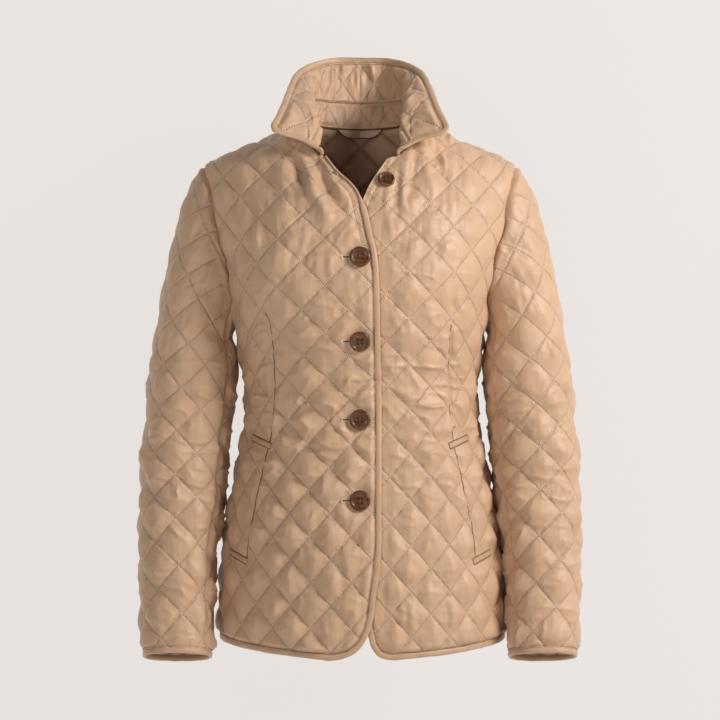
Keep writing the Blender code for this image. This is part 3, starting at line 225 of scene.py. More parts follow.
def readForm(form, name, s, w):
    # value of the form's grid between its points
    s, w = np.asarray(s, float), np.asarray(w, float)
    grid = form[name]
    i = np.clip((w - form["w"][0]) / (form["w"][1] - form["w"][0]), 0, len(form["w"]) - 1.001)
    j = np.clip((s - form["s"][0]) / (form["s"][1] - form["s"][0]), 0, len(form["s"]) - 1.001)
    i0, j0 = i.astype(int), j.astype(int)
    u, v = (i - i0)[..., None], (j - j0)[..., None]
    return ((grid[i0, j0] * (1 - v) + grid[i0, j0 + 1] * v) * (1 - u)
            + (grid[i0 + 1, j0] * (1 - v) + grid[i0 + 1, j0 + 1] * v) * u)


def pointsOf(form, line):
    # points in space along a pattern line
    return readForm(form, "points", line[:, 0], line[:, 1])


def normalsOf(form, line):
    # outward normals along a pattern line
    return unit(readForm(form, "normals", line[:, 0], line[:, 1]))


def evenRows(lines, middle, at):
    # every row of points read at even lengths, counted from its middle point
    run = runsAlong(lines)
    run -= run[:, middle:middle + 1]
    rows = [[np.interp(at, lengths, line[:, k]) for k in range(3)] for lengths, line in zip(run, lines)]
    return np.array(rows).transpose(0, 2, 1)


def rounded(turn, wave, roundness):
    # one axis of a superellipse: a wave to the power 2 / roundness, its sign kept
    return np.sign(wave(turn)) * np.abs(wave(turn)) ** (2 / roundness)


def torsoForm(face):
    # front or back: superellipse sections whose upper rows bend over the shoulders
    sign = -1.0 if face == "front" else 1.0
    wAxis, sAxis = np.arange(-690.0, 96.0, 3.0), np.arange(-328.0, 330.0, 2.0)
    turn = np.radians(np.linspace(-104, 104, 313))
    w = wAxis[:, None] + 0 * turn
    height = w.copy()
    for _ in range(8):
        across = (torsoSize("halfWidth", height) - torso["cloth"]) * rounded(turn, np.sin, torso["roundness"])
        over = shoulderTurn(face, across, w)
        bent = shoulderHeight(across) - torso["drop"] * (1 - np.cos(over))
        height = np.where(over >= pi / 2, w, bent)
    reach = rounded(turn, np.cos, torso["roundness"]) * np.sin(over)
    depth = (torsoSize(face, height) - torso["cloth"]) * reach
    lines = np.stack([across, sign * depth, height], axis=-1)
    return makeForm(sAxis, wAxis, evenRows(lines, len(turn) // 2, sAxis), -sign)


def widthAt(form, across, w):
    # pattern width of points given by their distance from the centre line
    across, w = np.asarray(across, float), np.asarray(w, float)
    sGrid = np.broadcast_to(form["s"], w.shape + form["s"].shape)
    x = readForm(form, "points", sGrid, np.broadcast_to(w[..., None], sGrid.shape))[..., 0]
    high = form["s"][np.argmax(x, axis=-1)]
    low = -high
    for _ in range(40):
        middle = (low + high) / 2
        short = readForm(form, "points", middle, w)[..., 0] < across
        low, high = np.where(short, middle, low), np.where(short, high, middle)
    return (low + high) / 2


def shoulderSeam(form, face, across):
    # pattern points where the cloth lies level over the shoulder
    w = shoulderHeight(across) - torso["drop"] + overShoulder(face, across, 0.0)
    return np.stack([widthAt(form, across, w), w], axis=1)


def seenAt(form, face, rows):
    # pattern points of places given by distance across and height
    rows = np.asarray(rows, float)
    w = clothHeight(face, rows[:, 0], rows[:, 1])
    return np.stack([widthAt(form, rows[:, 0], w), w], axis=1)


def onFront(side, rows):
    # pattern points of places given by x and height on one front; side is -1 right, 1 left
    rows = np.asarray(rows, float)
    across = side * (rows[:, 0] - torsoSize("shift", rows[:, 1]))
    return seenAt(frontForm, "front", np.stack([across, rows[:, 1]], axis=1))


def sideSeam(form, heights):
    # where the front's form meets the back's
    low, high = np.full(len(heights), 120.0), np.full(len(heights), 325.0)
    ahead = readForm(form, "points", 30.0 + 0 * heights, heights)[:, 1] < 0
    for _ in range(40):
        middle = (low + high) / 2
        y = readForm(form, "points", middle, heights)[:, 1]
        before = np.where(ahead, y < 0, y > 0)
        low, high = np.where(before, middle, low), np.where(before, high, middle)
    return np.stack([(low + high) / 2, heights], axis=1)


frontForm, backForm = torsoForm("front"), torsoForm("back")
print("forms of the body done")


# cutting lines

cut = dict(
    frontArm=((-46, 188.5), (-73, 182.5), (-90, 178.5), (-114, 174.3), (-136, 168.8), (-160, 161.9),
              (-184, 157.0), (-212, 153.5), (-230, 152.2)),
    backArm=((-46, 188.5), (-75, 181.5), (-105, 175.0), (-140, 167.0), (-175, 160.5), (-205, 156.0),
             (-230, 152.0)),
    frontNeck=((66.5, -8), (60, -25), (52, -36), (43, -43)),
    backNeck=((60, 3.5), (45, 1.5), (22, 0.4), (0, 0)),
    topEdge=((-40, -43), (-25.5, -62), (-10.4, -77), (-1.4, -90), (2.4, -99), (8.8, -115),
             (12.4, -133), (19.0, -160), (21.2, -178), (22.6, -217), (24.9, -335), (24.8, -452),
             (24.0, -522), (21.2, -545), (18.0, -570), (15.2, -592), (9.2, -612), (0.7, -626),
             (-10.5, -635.0), (-24, -639.4), (-38, -641.0)),
    underEdge=((32.4, -46.5), (22.4, -61), (12.3, -77), (2.4, -99), (-8, -125), (-16, -160),
               (-20, -200), (-21.5, -260), (-21.5, -440), (-17, -500), (-7, -555), (4, -592),
               (10, -612), (14, -627), (21, -636), (30.6, -640), (42.4, -641)),
    underTop=((32.4, -46.5), (43, -44.5)), bareTop=(-99, -112),
    hemFront=-641.0, hemBack=-637.0, hemSide=-627.0,
    tapeWidth=6.5,
)


def hemLine(form, face, start):
    # the hem dips towards the centre by half a cosine wave
    side = sideSeam(form, np.array([cut["hemSide"]]))[0, 0]
    s = np.linspace(start, side, 80)
    low = cut["hemFront"] if face == "front" else cut["hemBack"]
    rise = (cut["hemSide"] - low) * (1 - np.cos(pi * np.clip(np.abs(s) / side, 0, 1))) / 2
    return np.stack([s, low + rise], axis=1)


def armLine(form, face, rows):
    # the armhole from the shoulder's end down to the underarm
    height, across = np.array(rows, float).T
    line = seenAt(form, face, np.stack([across, height], axis=1))
    line[0] = shoulderSeam(form, face, np.array([torso["shoulderEnd"]]))[0]
    bottom = sideSeam(form, np.array([torso["underarm"]]))
    return smoothLine(np.vstack([line, bottom]), 4.0)


def neckLine(form, face):
    # the neck seam from the shoulder seam to the centre
    seam = shoulderSeam(form, face, np.array([torso["neckHalf"]]))
    rows = cut["frontNeck"] if face == "front" else cut["backNeck"]
    return smoothLine(np.vstack([seam, seenAt(form, face, rows)]), 4.0)


def sleeveWay(share):
    # way in which the sleeve leaves the armhole; share runs 0 to 2 round it from the top
    turn = share * pi
    low = (1 - np.cos(turn)) / 2
    return unit(np.stack([0.80 - 0.30 * low, -0.40 * np.sin(turn), -0.60 - 0.30 * low], axis=-1))


def armholeSeam(frontLine, backLine):
    # the seam down the front, under the arm and up the back; its mitre lies between both cloths
    at = np.vstack([pointsOf(frontForm, frontLine), pointsOf(backForm, backLine[::-1])[1:-1]])
    body = np.vstack([normalsOf(frontForm, frontLine), normalsOf(backForm, backLine[::-1])[1:-1]])
    bottom = len(frontLine) - 1
    along = unit(wayRound(at))
    run = np.concatenate([[0], np.cumsum(np.linalg.norm(np.roll(at, -1, axis=0) - at, axis=1))])
    half = run[bottom]
    share = np.where(run[:-1] <= half, run[:-1] / half, 1 + (run[:-1] - half) / (run[-1] - half))
    both = body + unit(np.cross(along, sleeveWay(share)))
    steep = np.maximum(np.linalg.norm(both, axis=1, keepdims=True) / 2, 0.45)
    return dict(at=at, mitre=unit(both) / steep, share=share, bottom=bottom)


def atShare(seam, name, share):
    knots = np.append(seam["share"], 2.0)
    values = np.vstack([seam[name], seam[name][:1]])
    return np.stack([np.interp(np.mod(share, 2.0), knots, values[:, k]) for k in range(3)], axis=-1)


frontArm = armLine(frontForm, "front", cut["frontArm"])
backArm = armLine(backForm, "back", cut["backArm"])
armhole = armholeSeam(frontArm, backArm)
armShares = dict(front=armhole["share"][:armhole["bottom"] + 1],
                 back=np.append(armhole["share"][armhole["bottom"]:], 2.0)[::-1])
print("cutting lines done")


# sleeve form

sleeve = dict(
    height=(-262, -289, -307, -340, -362, -409, -457, -532, -580, -645),
    across=(203.9, 203.6, 204.9, 207.9, 210.5, 214.6, 216.6, 221.3, 221.1, 220.1),
    depth=(0.0, -1.0, -2.5, -5.0, -7.5, -13.5, -21.5, -38.0, -50.0, -66.0),
    halfWidth=(48.4, 52.4, 53.1, 53.1, 53.0, 51.9, 50.9, 45.6, 43.9, 42.9),
    halfDepth=(62.0, 63.0, 62.5, 61.0, 59.0, 56.0, 53.0, 47.5, 44.5, 41.0),
    roundness=2.2, ring=-262.0, cuff=-645.0,
    frontSeam=147.0, backSeam=-118.0,  # degrees round the sleeve from its outer line, forwards
)
sleeveTurns = np.radians(np.linspace(-160, 290, 901))
outerTurn = 320  # the number of the turn 0 in that list


def sleeveSection(turn, w):
    # superellipse at a height, leaning with the line of the sleeve's middle
    size = {name: through(sleeve["height"], sleeve[name], w)
            for name in ("across", "depth", "halfWidth", "halfDepth")}
    lean = np.arctan2(through(sleeve["height"], sleeve["depth"], w + 6.0)
                      - through(sleeve["height"], sleeve["depth"], w - 6.0), 12.0)
    out = rounded(turn, np.cos, sleeve["roundness"]) * (size["halfWidth"] - torso["cloth"])
    fore = rounded(turn, np.sin, sleeve["roundness"]) * (size["halfDepth"] - torso["cloth"])
    return np.stack(np.broadcast_arrays(size["across"] + out, size["depth"] - fore * np.cos(lean),
                                        w + fore * np.sin(lean)), axis=-1)


def capCurves(turn):
    # from the ring under the arm up to the armhole: cubic curves that run on past the seam
    share = np.mod(turn / pi, 2.0)
    start = sleeveSection(turn, sleeve["ring"])
    up = unit(start - sleeveSection(turn, sleeve["ring"] - 6.0))
    end, into = atShare(armhole, "at", share), -sleeveWay(share)
    span = np.linalg.norm(end - start, axis=1)[:, None]
    t = np.linspace(0, 1, 60)[None, :, None]
    start, end = start[:, None], end[:, None]
    rise, arrive = (up * span)[:, None], (into * span * 0.5)[:, None]
    curve = ((2 * t**3 - 3 * t**2 + 1) * start + (t**3 - 2 * t**2 + t) * rise
             + (3 * t**2 - 2 * t**3) * end + (t**3 - t**2) * arrive)
    curve = np.concatenate([curve, curve[:, -1:] + into[:, None] * 300.0], axis=1)
    return runsAlong(curve), curve


def sleeveFormOf():
    # sections up to the ring under the arm, and the cap's curves above it
    sAxis, wAxis = np.arange(-160.0, 300.0, 2.0), np.arange(-669.0, 20.0, 3.0)
    below = wAxis <= sleeve["ring"]
    sections = sleeveSection(sleeveTurns[None], wAxis[below][:, None])
    low = evenRows(sections, outerTurn, sAxis)
    ringRun = runAlong(sleeveSection(sleeveTurns, sleeve["ring"]))
    ringRun -= ringRun[outerTurn]
    run, curve = capCurves(np.interp(sAxis, ringRun, sleeveTurns))
    above = wAxis[~below] - sleeve["ring"]
    high = np.array([[np.interp(above, lengths, line[:, k]) for k in range(3)]
                     for lengths, line in zip(run, curve)]).transpose(2, 0, 1)
    form = makeForm(sAxis, wAxis, np.vstack([low, high]), -1.0)
    form["ringRun"] = ringRun
    form["capRun"] = capCurves(sleeveTurns)[0][:, -2]
    return form


def widthOfTurn(degrees, w):
    # pattern width of a line down the sleeve at one turn round it
    lines = sleeveSection(sleeveTurns[None], np.minimum(w, sleeve["ring"])[:, None])
    run = runsAlong(lines)
    run -= run[:, outerTurn:outerTurn + 1]
    return np.array([np.interp(math.radians(degrees), sleeveTurns, lengths) for lengths in run])


sleeveForm = sleeveFormOf()
print("form of the sleeves done")


# finishes

def newMaterial(name, color, roughness, **sockets):
    # an underscore in a socket's name here stands for a space
    made = bpy.data.materials.new(name)
    made.use_nodes = True
    shader = made.node_tree.nodes["Principled BSDF"]
    shader.inputs["Base Color"].default_value = (*color, 1.0)
    shader.inputs["Roughness"].default_value = roughness
    for socket, value in sockets.items():
        shader.inputs[socket.replace("_", " ")].default_value = value
    return made


class Graph:
    # short names for adding nodes to a material
    def __init__(self, material):
        self.tree = material.node_tree
        self.shader = self.tree.nodes["Principled BSDF"]
        self.place = self.node("TexCoord").outputs["Object"]

    def node(self, kind, **settings):
        made = self.tree.nodes.new("ShaderNode" + kind)
        for name, value in settings.items():
            setattr(made, name, value)
        return made

    def link(self, source, target):
        if hasattr(source, "links"):
            self.tree.links.new(source, target)
        else:
            target.default_value = source

    def math(self, operation, first, second=0.0, third=None):
        made = self.node("Math", operation=operation)
        self.link(first, made.inputs[0])
        self.link(second, made.inputs[1])
        if third is not None:
            self.link(third, made.inputs[2])
        return made.outputs[0]

    def between(self, value, low, high, toLow=0.0, toHigh=1.0):
        made = self.node("MapRange", interpolation_type="SMOOTHSTEP")
        self.link(value, made.inputs["Value"])
        for socket, number in zip(("From Min", "From Max", "To Min", "To Max"), (low, high, toLow, toHigh)):
            made.inputs[socket].default_value = number
        return made.outputs["Result"]

    def mix(self, share, first, second):
        made = self.node("Mix", data_type="RGBA", blend_type="MIX")
        self.link(share, made.inputs["Factor"])
        self.link(first, made.inputs[6])
        self.link(second, made.inputs[7])
        return made.outputs[2]

    def times(self, first, second):
        return self.math("MULTIPLY", first, second)

    def plus(self, first, second):
        return self.math("ADD", first, second)

    def most(self, first, second):
        return self.math("MAXIMUM", first, second)

    def fade(self, value, span):
        # 1 falling to 0 over a span
        return self.between(value, *span, 1.0, 0.0)

    def paint(self, color):
        self.link(color, self.shader.inputs["Base Color"])

    def point(self, x, y, z=0.0):
        made = self.node("CombineXYZ")
        for value, socket in zip((x, y, z), made.inputs):
            self.link(value, socket)
        return made.outputs[0]

    def uv(self, name):
        flat = self.node("SeparateXYZ")
        self.link(self.node("UVMap", uv_map=name).outputs[0], flat.inputs[0])
        return flat.outputs[0], flat.outputs[1]

    def noise(self, vector, scale, detail=2.0):
        made = self.node("TexNoise")
        self.link(vector, made.inputs["Vector"])
        made.inputs["Scale"].default_value = scale
        made.inputs["Detail"].default_value = detail
        return made.outputs["Fac"]

    def bump(self, heights, distance, strength):
        made = self.node("Bump")
        made.inputs["Distance"].default_value = distance
        made.inputs["Strength"].default_value = strength
        self.link(heights, made.inputs["Height"])
        self.link(made.outputs[0], self.shader.inputs["Normal"])


clothFinish = dict(
    # deep is the colour of the painted shade in the stitch grooves and on the lines; insideShade that of the
    # painted shade on the inner skin
    color=(0.555, 0.356, 0.224), deep=(0.25, 0.142, 0.080), thread=(0.76, 0.56, 0.41),
    insideShade=(0.13, 0.058, 0.026), mottle=(0.95, 1.04), mottleScale=14.0,
    roughness=0.42, roughSpan=(-0.05, 0.07), roughScale=35.0, sheen=0.18, shine=0.34,
    # millimetres between stitch lines, stitches, threads of the weave and puckers, and a pucker's length
    linePitch=37.1, stitchPitch=2.6, weavePitch=0.42, puckerPitch=3.4, puckerLength=12.0,
    # distances from a stitch line over which each fades, and where a stitch ends within its pitch
    threadFade=(0.45, 1.0), lineFade=(0.1, 0.9), grooveFade=(0.0, 1.9), shadeFade=(0.0, 8.0),
    puckerFade=(0.5, 7.0), stitchEnd=(0.16, 0.26),
    # shares of the colours: painted shade in the grooves, on the stitch lines and in the gaps between
    # stitches, and the thread; painted shade on the inner skin: near a line, on it, and everywhere
    grooveShadeShare=0.08, lineShadeShare=0.7, paintedShadeShare=0.82, threadShare=0.58, insideShares=(0.34, 0.36, 0.04),
    # heights in millimetres, and the scales of the fine and of the upright creases
    weaveRise=0.02, fineRise=0.45, uprightRise=1.5, threadRise=0.30, grooveDepth=0.70, puckerRise=1.3,
    fineScale=80.0, uprightScale=(115.0, 22.0), bump=0.9,
)
softSheen = 0.35  # roughness of the sheen on cloth and tape


def opaque(color, share=1.0):
    # a colour, darkened by a share, with full cover
    return (*[part * share for part in color], 1.0)


def clothMaterial():
    # dotted stitch lines on the quilt's own map, with puckers across them, over a fine weave; painted shade
    # darkens the grooves, the stitch lines, the gaps between stitches and the inner skin
    look = clothFinish
    made = newMaterial("cloth", look["color"], look["roughness"], Sheen_Weight=look["sheen"],
                       Sheen_Roughness=softSheen, Specular_IOR_Level=look["shine"])
    g = Graph(made)
    a, b = g.uv("quilt")
    s, w = g.uv("cloth")
    inside, _ = g.uv("inside")  # 1 on a wall's inner skin
    lines, threads, shadedGaps, grooves, puckers, shaded = 0.0, 0.0, 0.0, 0.0, 0.0, 0.0
    for across, along, number in ((a, b, 0.0), (b, a, 40.0)):
        near = g.times(g.math("PINGPONG", across, 0.5), look["linePitch"])  # mm to the stitch line
        beat = g.math("FRACT", g.times(along, look["linePitch"] / look["stitchPitch"]))
        close, stitched = g.fade(near, look["threadFade"]), g.between(g.math("PINGPONG", beat, 0.5),
                                                                     *look["stitchEnd"])
        threads = g.most(threads, g.times(close, stitched))
        shadedGaps = g.most(shadedGaps, g.times(close, g.math("SUBTRACT", 1.0, stitched)))
        lines = g.most(lines, g.fade(near, look["lineFade"]))
        grooves = g.most(grooves, g.fade(near, look["grooveFade"]))
        shaded = g.most(shaded, g.fade(near, look["shadeFade"]))
        spread = g.point(g.times(along, look["linePitch"] / look["puckerPitch"]),
                         g.times(across, look["linePitch"] / look["puckerLength"]), number)
        drawn = g.times(g.noise(spread, 1.0, 1.0), g.fade(near, look["puckerFade"]))
        puckers = g.plus(puckers, drawn)
    mottled = g.between(g.noise(g.place, look["mottleScale"], 3.0), 0.3, 0.7)
    base = g.mix(mottled, *[opaque(look["color"], share) for share in look["mottle"]])
    # painted shade: the cloth darkens towards the deep colour in the grooves, on the stitch lines and in the
    # gaps between stitches
    base = g.mix(g.times(grooves, look["grooveShadeShare"]), base, opaque(look["deep"]))
    dark = g.times(g.most(g.times(lines, look["lineShadeShare"]), shadedGaps), look["paintedShadeShare"])
    base = g.mix(dark, base, opaque(look["deep"]))
    base = g.mix(g.times(threads, look["threadShare"]), base, opaque(look["thread"]))
    # painted shade on the inner skin: darker near the lines, on them, and a little everywhere
    nearLine, onLine, everywhere = look["insideShares"]
    dim = g.plus(g.times(shaded, nearLine), g.math("MULTIPLY_ADD", lines, onLine, everywhere))
    base = g.mix(g.times(dim, inside), base, opaque(look["insideShade"]))
    g.paint(base)
    turns = 2 * pi / look["weavePitch"] / mm
    warp, weft = (g.math("SINE", g.times(part, turns)) for part in (s, w))
    weave = g.times(g.times(warp, weft), look["weaveRise"])
    upright = g.point(*[g.times(part, scale) for part, scale in zip((s, w), look["uprightScale"])])
    creased = g.plus(g.times(g.noise(g.place, look["fineScale"], 3.0), look["fineRise"]),
                     g.times(g.noise(upright, 1.0, 2.0), look["uprightRise"]))
    sunk = g.math("SUBTRACT", g.times(threads, look["threadRise"]), g.times(grooves, look["grooveDepth"]))
    height = g.plus(g.plus(weave, creased), g.plus(sunk, g.times(puckers, look["puckerRise"])))
    g.bump(height, mm, look["bump"])
    rough = [look["roughness"] + part for part in look["roughSpan"]]
    g.link(g.between(g.noise(g.place, look["roughScale"]), 0.3, 0.7, *rough), g.shader.inputs["Roughness"])
    return made


bindingFinish = dict(
    color=(0.53, 0.335, 0.205), worn=0.90, wornScale=60.0, roughness=0.42, sheen=0.2, shine=0.5,
    ribPitch=0.7, ribRise=0.03, creaseRise=0.3, creaseScale=140.0, bump=0.7,
)


def bindingMaterial():
    # fine slanting ribs, a little darker where the tape is worn
    look = bindingFinish
    made = newMaterial("binding", look["color"], look["roughness"], Sheen_Weight=look["sheen"],
                       Sheen_Roughness=softSheen, Specular_IOR_Level=look["shine"])
    g = Graph(made)
    along, around = g.uv("tape")  # millimetres along the tape, and round it
    ribs = g.math("SINE", g.times(g.plus(along, around), 2 * pi / look["ribPitch"]))
    worn = g.between(g.noise(g.place, look["wornScale"], 3.0), 0.35, 0.7)
    g.paint(g.mix(worn, opaque(look["color"]), opaque(look["color"], look["worn"])))
    creased = g.times(g.noise(g.place, look["creaseScale"]), look["creaseRise"])
    g.bump(g.plus(g.times(ribs, look["ribRise"]), creased), mm, look["bump"])
    return made


threadFinish = dict(roughness=0.5, sheen=0.3, shadeScale=220.0, fibreScale=1800.0, fibreRise=0.0004, bump=0.6)


def threadMaterial(name, dark, light):
    look = threadFinish
    made = newMaterial(name, dark, look["roughness"], Sheen_Weight=look["sheen"])
    g = Graph(made)
    shade = g.between(g.noise(g.place, look["shadeScale"]), 0.3, 0.7)
    g.paint(g.mix(shade, opaque(dark), opaque(light)))
    g.bump(g.noise(g.place, look["fibreScale"]), look["fibreRise"], look["bump"])
    return made


shadeFinish = dict(roughness=0.85, shine=0.1, scale=300.0)


def shadeMaterial(name, dark, light):
    # painted shade: the deep inside of a slit, or of a seam's crease
    look = shadeFinish
    made = newMaterial(name, dark, look["roughness"], Specular_IOR_Level=look["shine"])
    g = Graph(made)
    g.paint(g.mix(g.noise(g.place, look["scale"]), opaque(dark), opaque(light)))
    return made


hornFinish = dict(
    color=(0.12, 0.045, 0.02), dark=(0.078, 0.029, 0.010), light=(0.165, 0.066, 0.023), roughness=0.32,
    roughSpan=(0.28, 0.42), roughScale=400.0, coat=0.32, coatRoughness=0.14, shine=0.32,
    stretch=(0.6, 1.0, 2.6), turned=(0.0, 0.5, 0.0), streakScale=120.0,
    grainScale=500.0, grainRise=0.0002, bump=0.3,
)


def hornMaterial():
    # dark streaks along the horn, under a thin polish
    look = hornFinish
    made = newMaterial("button", look["color"], look["roughness"], Coat_Weight=look["coat"],
                       Coat_Roughness=look["coatRoughness"], Specular_IOR_Level=look["shine"])
    g = Graph(made)
    stretched = g.node("Mapping")
    stretched.inputs["Scale"].default_value = look["stretch"]
    stretched.inputs["Rotation"].default_value = look["turned"]
    g.link(g.place, stretched.inputs["Vector"])
    streaks = g.between(g.noise(stretched.outputs[0], look["streakScale"], 5.0), 0.38, 0.68)
    g.paint(g.mix(streaks, opaque(look["dark"]), opaque(look["light"])))
    g.link(g.between(g.noise(g.place, look["roughScale"]), 0.3, 0.7, *look["roughSpan"]),
           g.shader.inputs["Roughness"])
    g.bump(g.noise(g.place, look["grainScale"]), look["grainRise"], look["bump"])
    return made


finishes = dict(cloth=clothMaterial(), binding=bindingMaterial(), button=hornMaterial(),
                thread=threadMaterial("thread", (0.55, 0.37, 0.24), (0.76, 0.56, 0.40)),
                # the darker thread is stitches whose dark colour is painted shade of the stitch lines and
                # creases they lie in
                shadedThread=threadMaterial("shaded thread", (0.13, 0.072, 0.040), (0.27, 0.160, 0.094)),
                # slit and crease are dark colours of painted shade
                slitShade=shadeMaterial("slitShade", (0.030, 0.015, 0.009), (0.070, 0.036, 0.020)),
                crease=shadeMaterial("crease", (0.090, 0.048, 0.026), (0.160, 0.092, 0.052)))
print("finishes done")


# meshes

def quadsOf(numbers):
    # quads between a grid of point numbers
    corners = (numbers[:-1, :-1], numbers[:-1, 1:], numbers[1:, 1:], numbers[1:, :-1])
    return np.stack(corners, axis=-1).reshape(-1, 4)


def gridFaces(rows, columns, start=0):
    return quadsOf(np.arange(rows * columns).reshape(rows, columns) + start)


def roundNumbers(rows, around, start=0):
    # point numbers of a tube's rings, with each ring's first point again at its end
    numbers = np.arange(rows * around).reshape(rows, around) + start
    return np.concatenate([numbers, numbers[:, :1]], axis=1)


def tubeFaces(rows, around, copies=1):
    # quads of a tube and a face that closes either end, for equal tubes one after another
    numbers = roundNumbers(rows, around)
    starts = np.arange(copies)[:, None, None] * rows * around
    parts = (quadsOf(numbers), numbers[:1, -2::-1], numbers[-1:, :-1])
    return [face for part in parts for face in (starts + part).reshape(-1, part.shape[1]).tolist()]


def volumeUnder(points, corners):
    # six times the volume between the origin and the triangles
    a, b, c = (points[corners[:, k]] for k in range(3))
    return np.einsum("ij,ij->i", a, np.cross(b, c)).sum()


def addPiece(name, points, faces, finish, nodes=(), maps=None):
    # an object from points in millimetres; its faces are turned so that they point out
    three = np.array([face[:3] for face in faces])
    four = np.array([face[:4] for face in faces if len(face) > 3], int).reshape(-1, 4)
    if volumeUnder(points, three) + volumeUnder(points, four[:, [0, 2, 3]]) < 0:
        faces = [face[::-1] for face in faces]
    mesh = bpy.data.meshes.new(name)
    mesh.from_pydata((points * mm).tolist(), [], faces)
    mesh.update()
    mesh.shade_smooth()
    mesh.materials.append(finishes[finish])
    number = np.empty(len(mesh.loops), int)
    mesh.loops.foreach_get("vertex_index", number)
    for layer, values in (maps or {}).items():
        mesh.uv_layers.new(name=layer).data.foreach_set("uv", values[number].ravel())
    piece = bpy.data.objects.new(name, mesh)
    bpy.context.scene.collection.objects.link(piece)
    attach(piece, "root")
    if nodes:
        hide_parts(*nodes)
    return piece


def borderOf(rows, columns, start=0):
    # numbers of a grid's border points, once round to the left
    grid = np.arange(rows * columns).reshape(rows, columns) + start
    return np.concatenate([grid[0, :-1], grid[:-1, -1], grid[-1, :0:-1], grid[:0:-1, 0]])


def shellFaces(rows, columns):
    # outer skin, inner skin on every second line, and the rim between them
    innerRows, innerColumns = (rows + 1) // 2, (columns + 1) // 2
    start = rows * columns
    outer = gridFaces(rows, columns)
    inner = gridFaces(innerRows, innerColumns, start)[:, ::-1]
    ring, inside = borderOf(rows, columns), borderOf(innerRows, innerColumns, start)
    rim = np.stack([np.roll(ring, -2)[::2], ring[1::2], ring[::2], inside, np.roll(inside, -1)], axis=1)
    return outer.tolist() + inner.tolist() + rim.tolist()


def slab(name, outer, inner, finish, nodes=(), maps=None):
    # a closed wall between two grids of points
    rows, columns = outer.shape[:2]
    start = rows * columns
    ring, inside = borderOf(rows, columns), borderOf(rows, columns, start)
    faces = gridFaces(rows, columns).tolist() + gridFaces(rows, columns, start)[:, ::-1].tolist()
    faces += np.stack([np.roll(ring, -1), ring, inside, np.roll(inside, -1)], axis=1).tolist()
    maps = {layer: np.vstack([values, values]) for layer, values in (maps or {}).items()}
    points = np.vstack([outer.reshape(-1, 3), inner.reshape(-1, 3)])
    return addPiece(name, points, faces, finish, nodes, maps)


def patch(bottom, right, top, left, us, vs):
    # Coons patch: opposite sides blended, less the blend of the four corners
    b, t = evenly(bottom, us)[None], evenly(top, us)[None]
    l, r = evenly(left, vs)[:, None], evenly(right, vs)[:, None]
    u, v = us[None, :, None], vs[:, None, None]
    corners = ((1 - u) * (1 - v) * b[:, :1] + u * (1 - v) * b[:, -1:]
               + (1 - u) * v * t[:, :1] + u * v * t[:, -1:])
    return (1 - v) * b + v * t + (1 - u) * l + u * r - corners


endSteps = (0.6, 1.4)  # millimetres from an edge to the two lines beside it
pinReach = 9.0  # how far in from the armhole the panels' points are moved


def shares(length, spacing):
    # an odd number of places from 0 to 1, with two more close to either end
    count = 2 * max(2, int(round(length / spacing / 2)))
    close = np.array(endSteps) / length
    return np.sort(np.concatenate([np.linspace(0, 1, count + 1), close, 1 - close]))


def nearEdge(length):
    # weight that falls from 1 at the armhole's edge to 0 a little way in
    return 1 - smoothStep(0, pinReach, length)


# the quilted cloth

quilting = dict(
    width=51.0, height=54.0, pitch=clothFinish["linePitch"], wall=2.0, thinnest=0.7,
    puff=6.8, softness=0.62, fill=(0.88, 0.24),  # a diamond's rise, roundness, least and varying fill
    flatter=0.40, flatFrom=(-420, -190),  # flatter up the jacket, between these heights
    inward=3.2, inwardCrumple=0.45, innermost=0.2,
    # depth and width of the sewing's grooves, and the distance over which the cloth rises again
    seamDepth=1.0, seamWidth=2.2, edgeDepth=0.7, edgeWidth=1.2, edgeStitch=2.0, bandDepth=0.9, bandWidth=1.3,
    seamRise=(0.3, 7.0), edgeRise=(-1.5, 7.0), bandRise=(-1.0, 6.0), seatRise=(-6.0, 10.0),
    dartPress=(0.8, 4.0),
    # small waves beside the sewing: height, length along it, length across it, reach
    seamWave=(0.45, 8.0, 30.0, 7.0), edgeWave=(0.60, 4.5, 26.0, 10.0), dartWave=(0.45, 4.5, 24.0, 8.0),
    bandWave=(4.4, 20.0, 2.0, 5.5),  # length along, length across, offset, reach
    pull=0.85, pullSpokes=2.6, pullReach=11.0,
    pucker=1.35, puckerWave=(5.5, 22.0), puckerReach=8.0,
)
crumples = dict(
    size=2.8, least=0.35,  # height, and its share at the stitch lines
    soft=(36.0, 24.0), small=(15.0, 40.0, 13.0), smallShare=0.6, softShare=0.45,
    ridge=(24.0, 60.0, 12.0), bend=(4.0, 17.0, 40.0), ridgeShare=1.1, ridgeBase=0.25,
)
gathers = dict(
    size=2.5, least=0.2, sway=(5.0, 50.0, 34.0), strength=(0.35, 1.3, 28.0, 31.0),
    narrow=(6.5, 46.0), wide=(11.0, 60.0), wideShare=0.6, whereTight=(1.15, 0.6),
)


def phases(panel, s, w):
    # whole numbers of both phases are the two families of stitch lines
    lean, drift = panel["lean"](w) if "lean" in panel else (0.0, 0.0)
    narrowing = panel["narrowing"](w) if "narrowing" in panel else 1.0
    s, w = s - panel["crossing"][0], w - panel["crossing"][1]
    s, w = s * np.cos(lean) + drift, w - s * np.sin(lean)
    across = s * narrowing / quilting["width"]
    up = w / panel.get("height", quilting["height"])
    return across + up, across - up


narrowings = ((-690, -480, -340, -230, -60, 100), (1.07, 1.06, 1.0, 0.93, 0.94, 1.0))  # heights, shares


def frontNarrowing(w):
    # how much narrower the fronts' diamonds are at each height: wide on the chest, narrow at the hem
    return through(*narrowings, w)


foldBow, foldEnds = 0.12, 0.35  # a fold's sideways bow by its width, and its ends' height


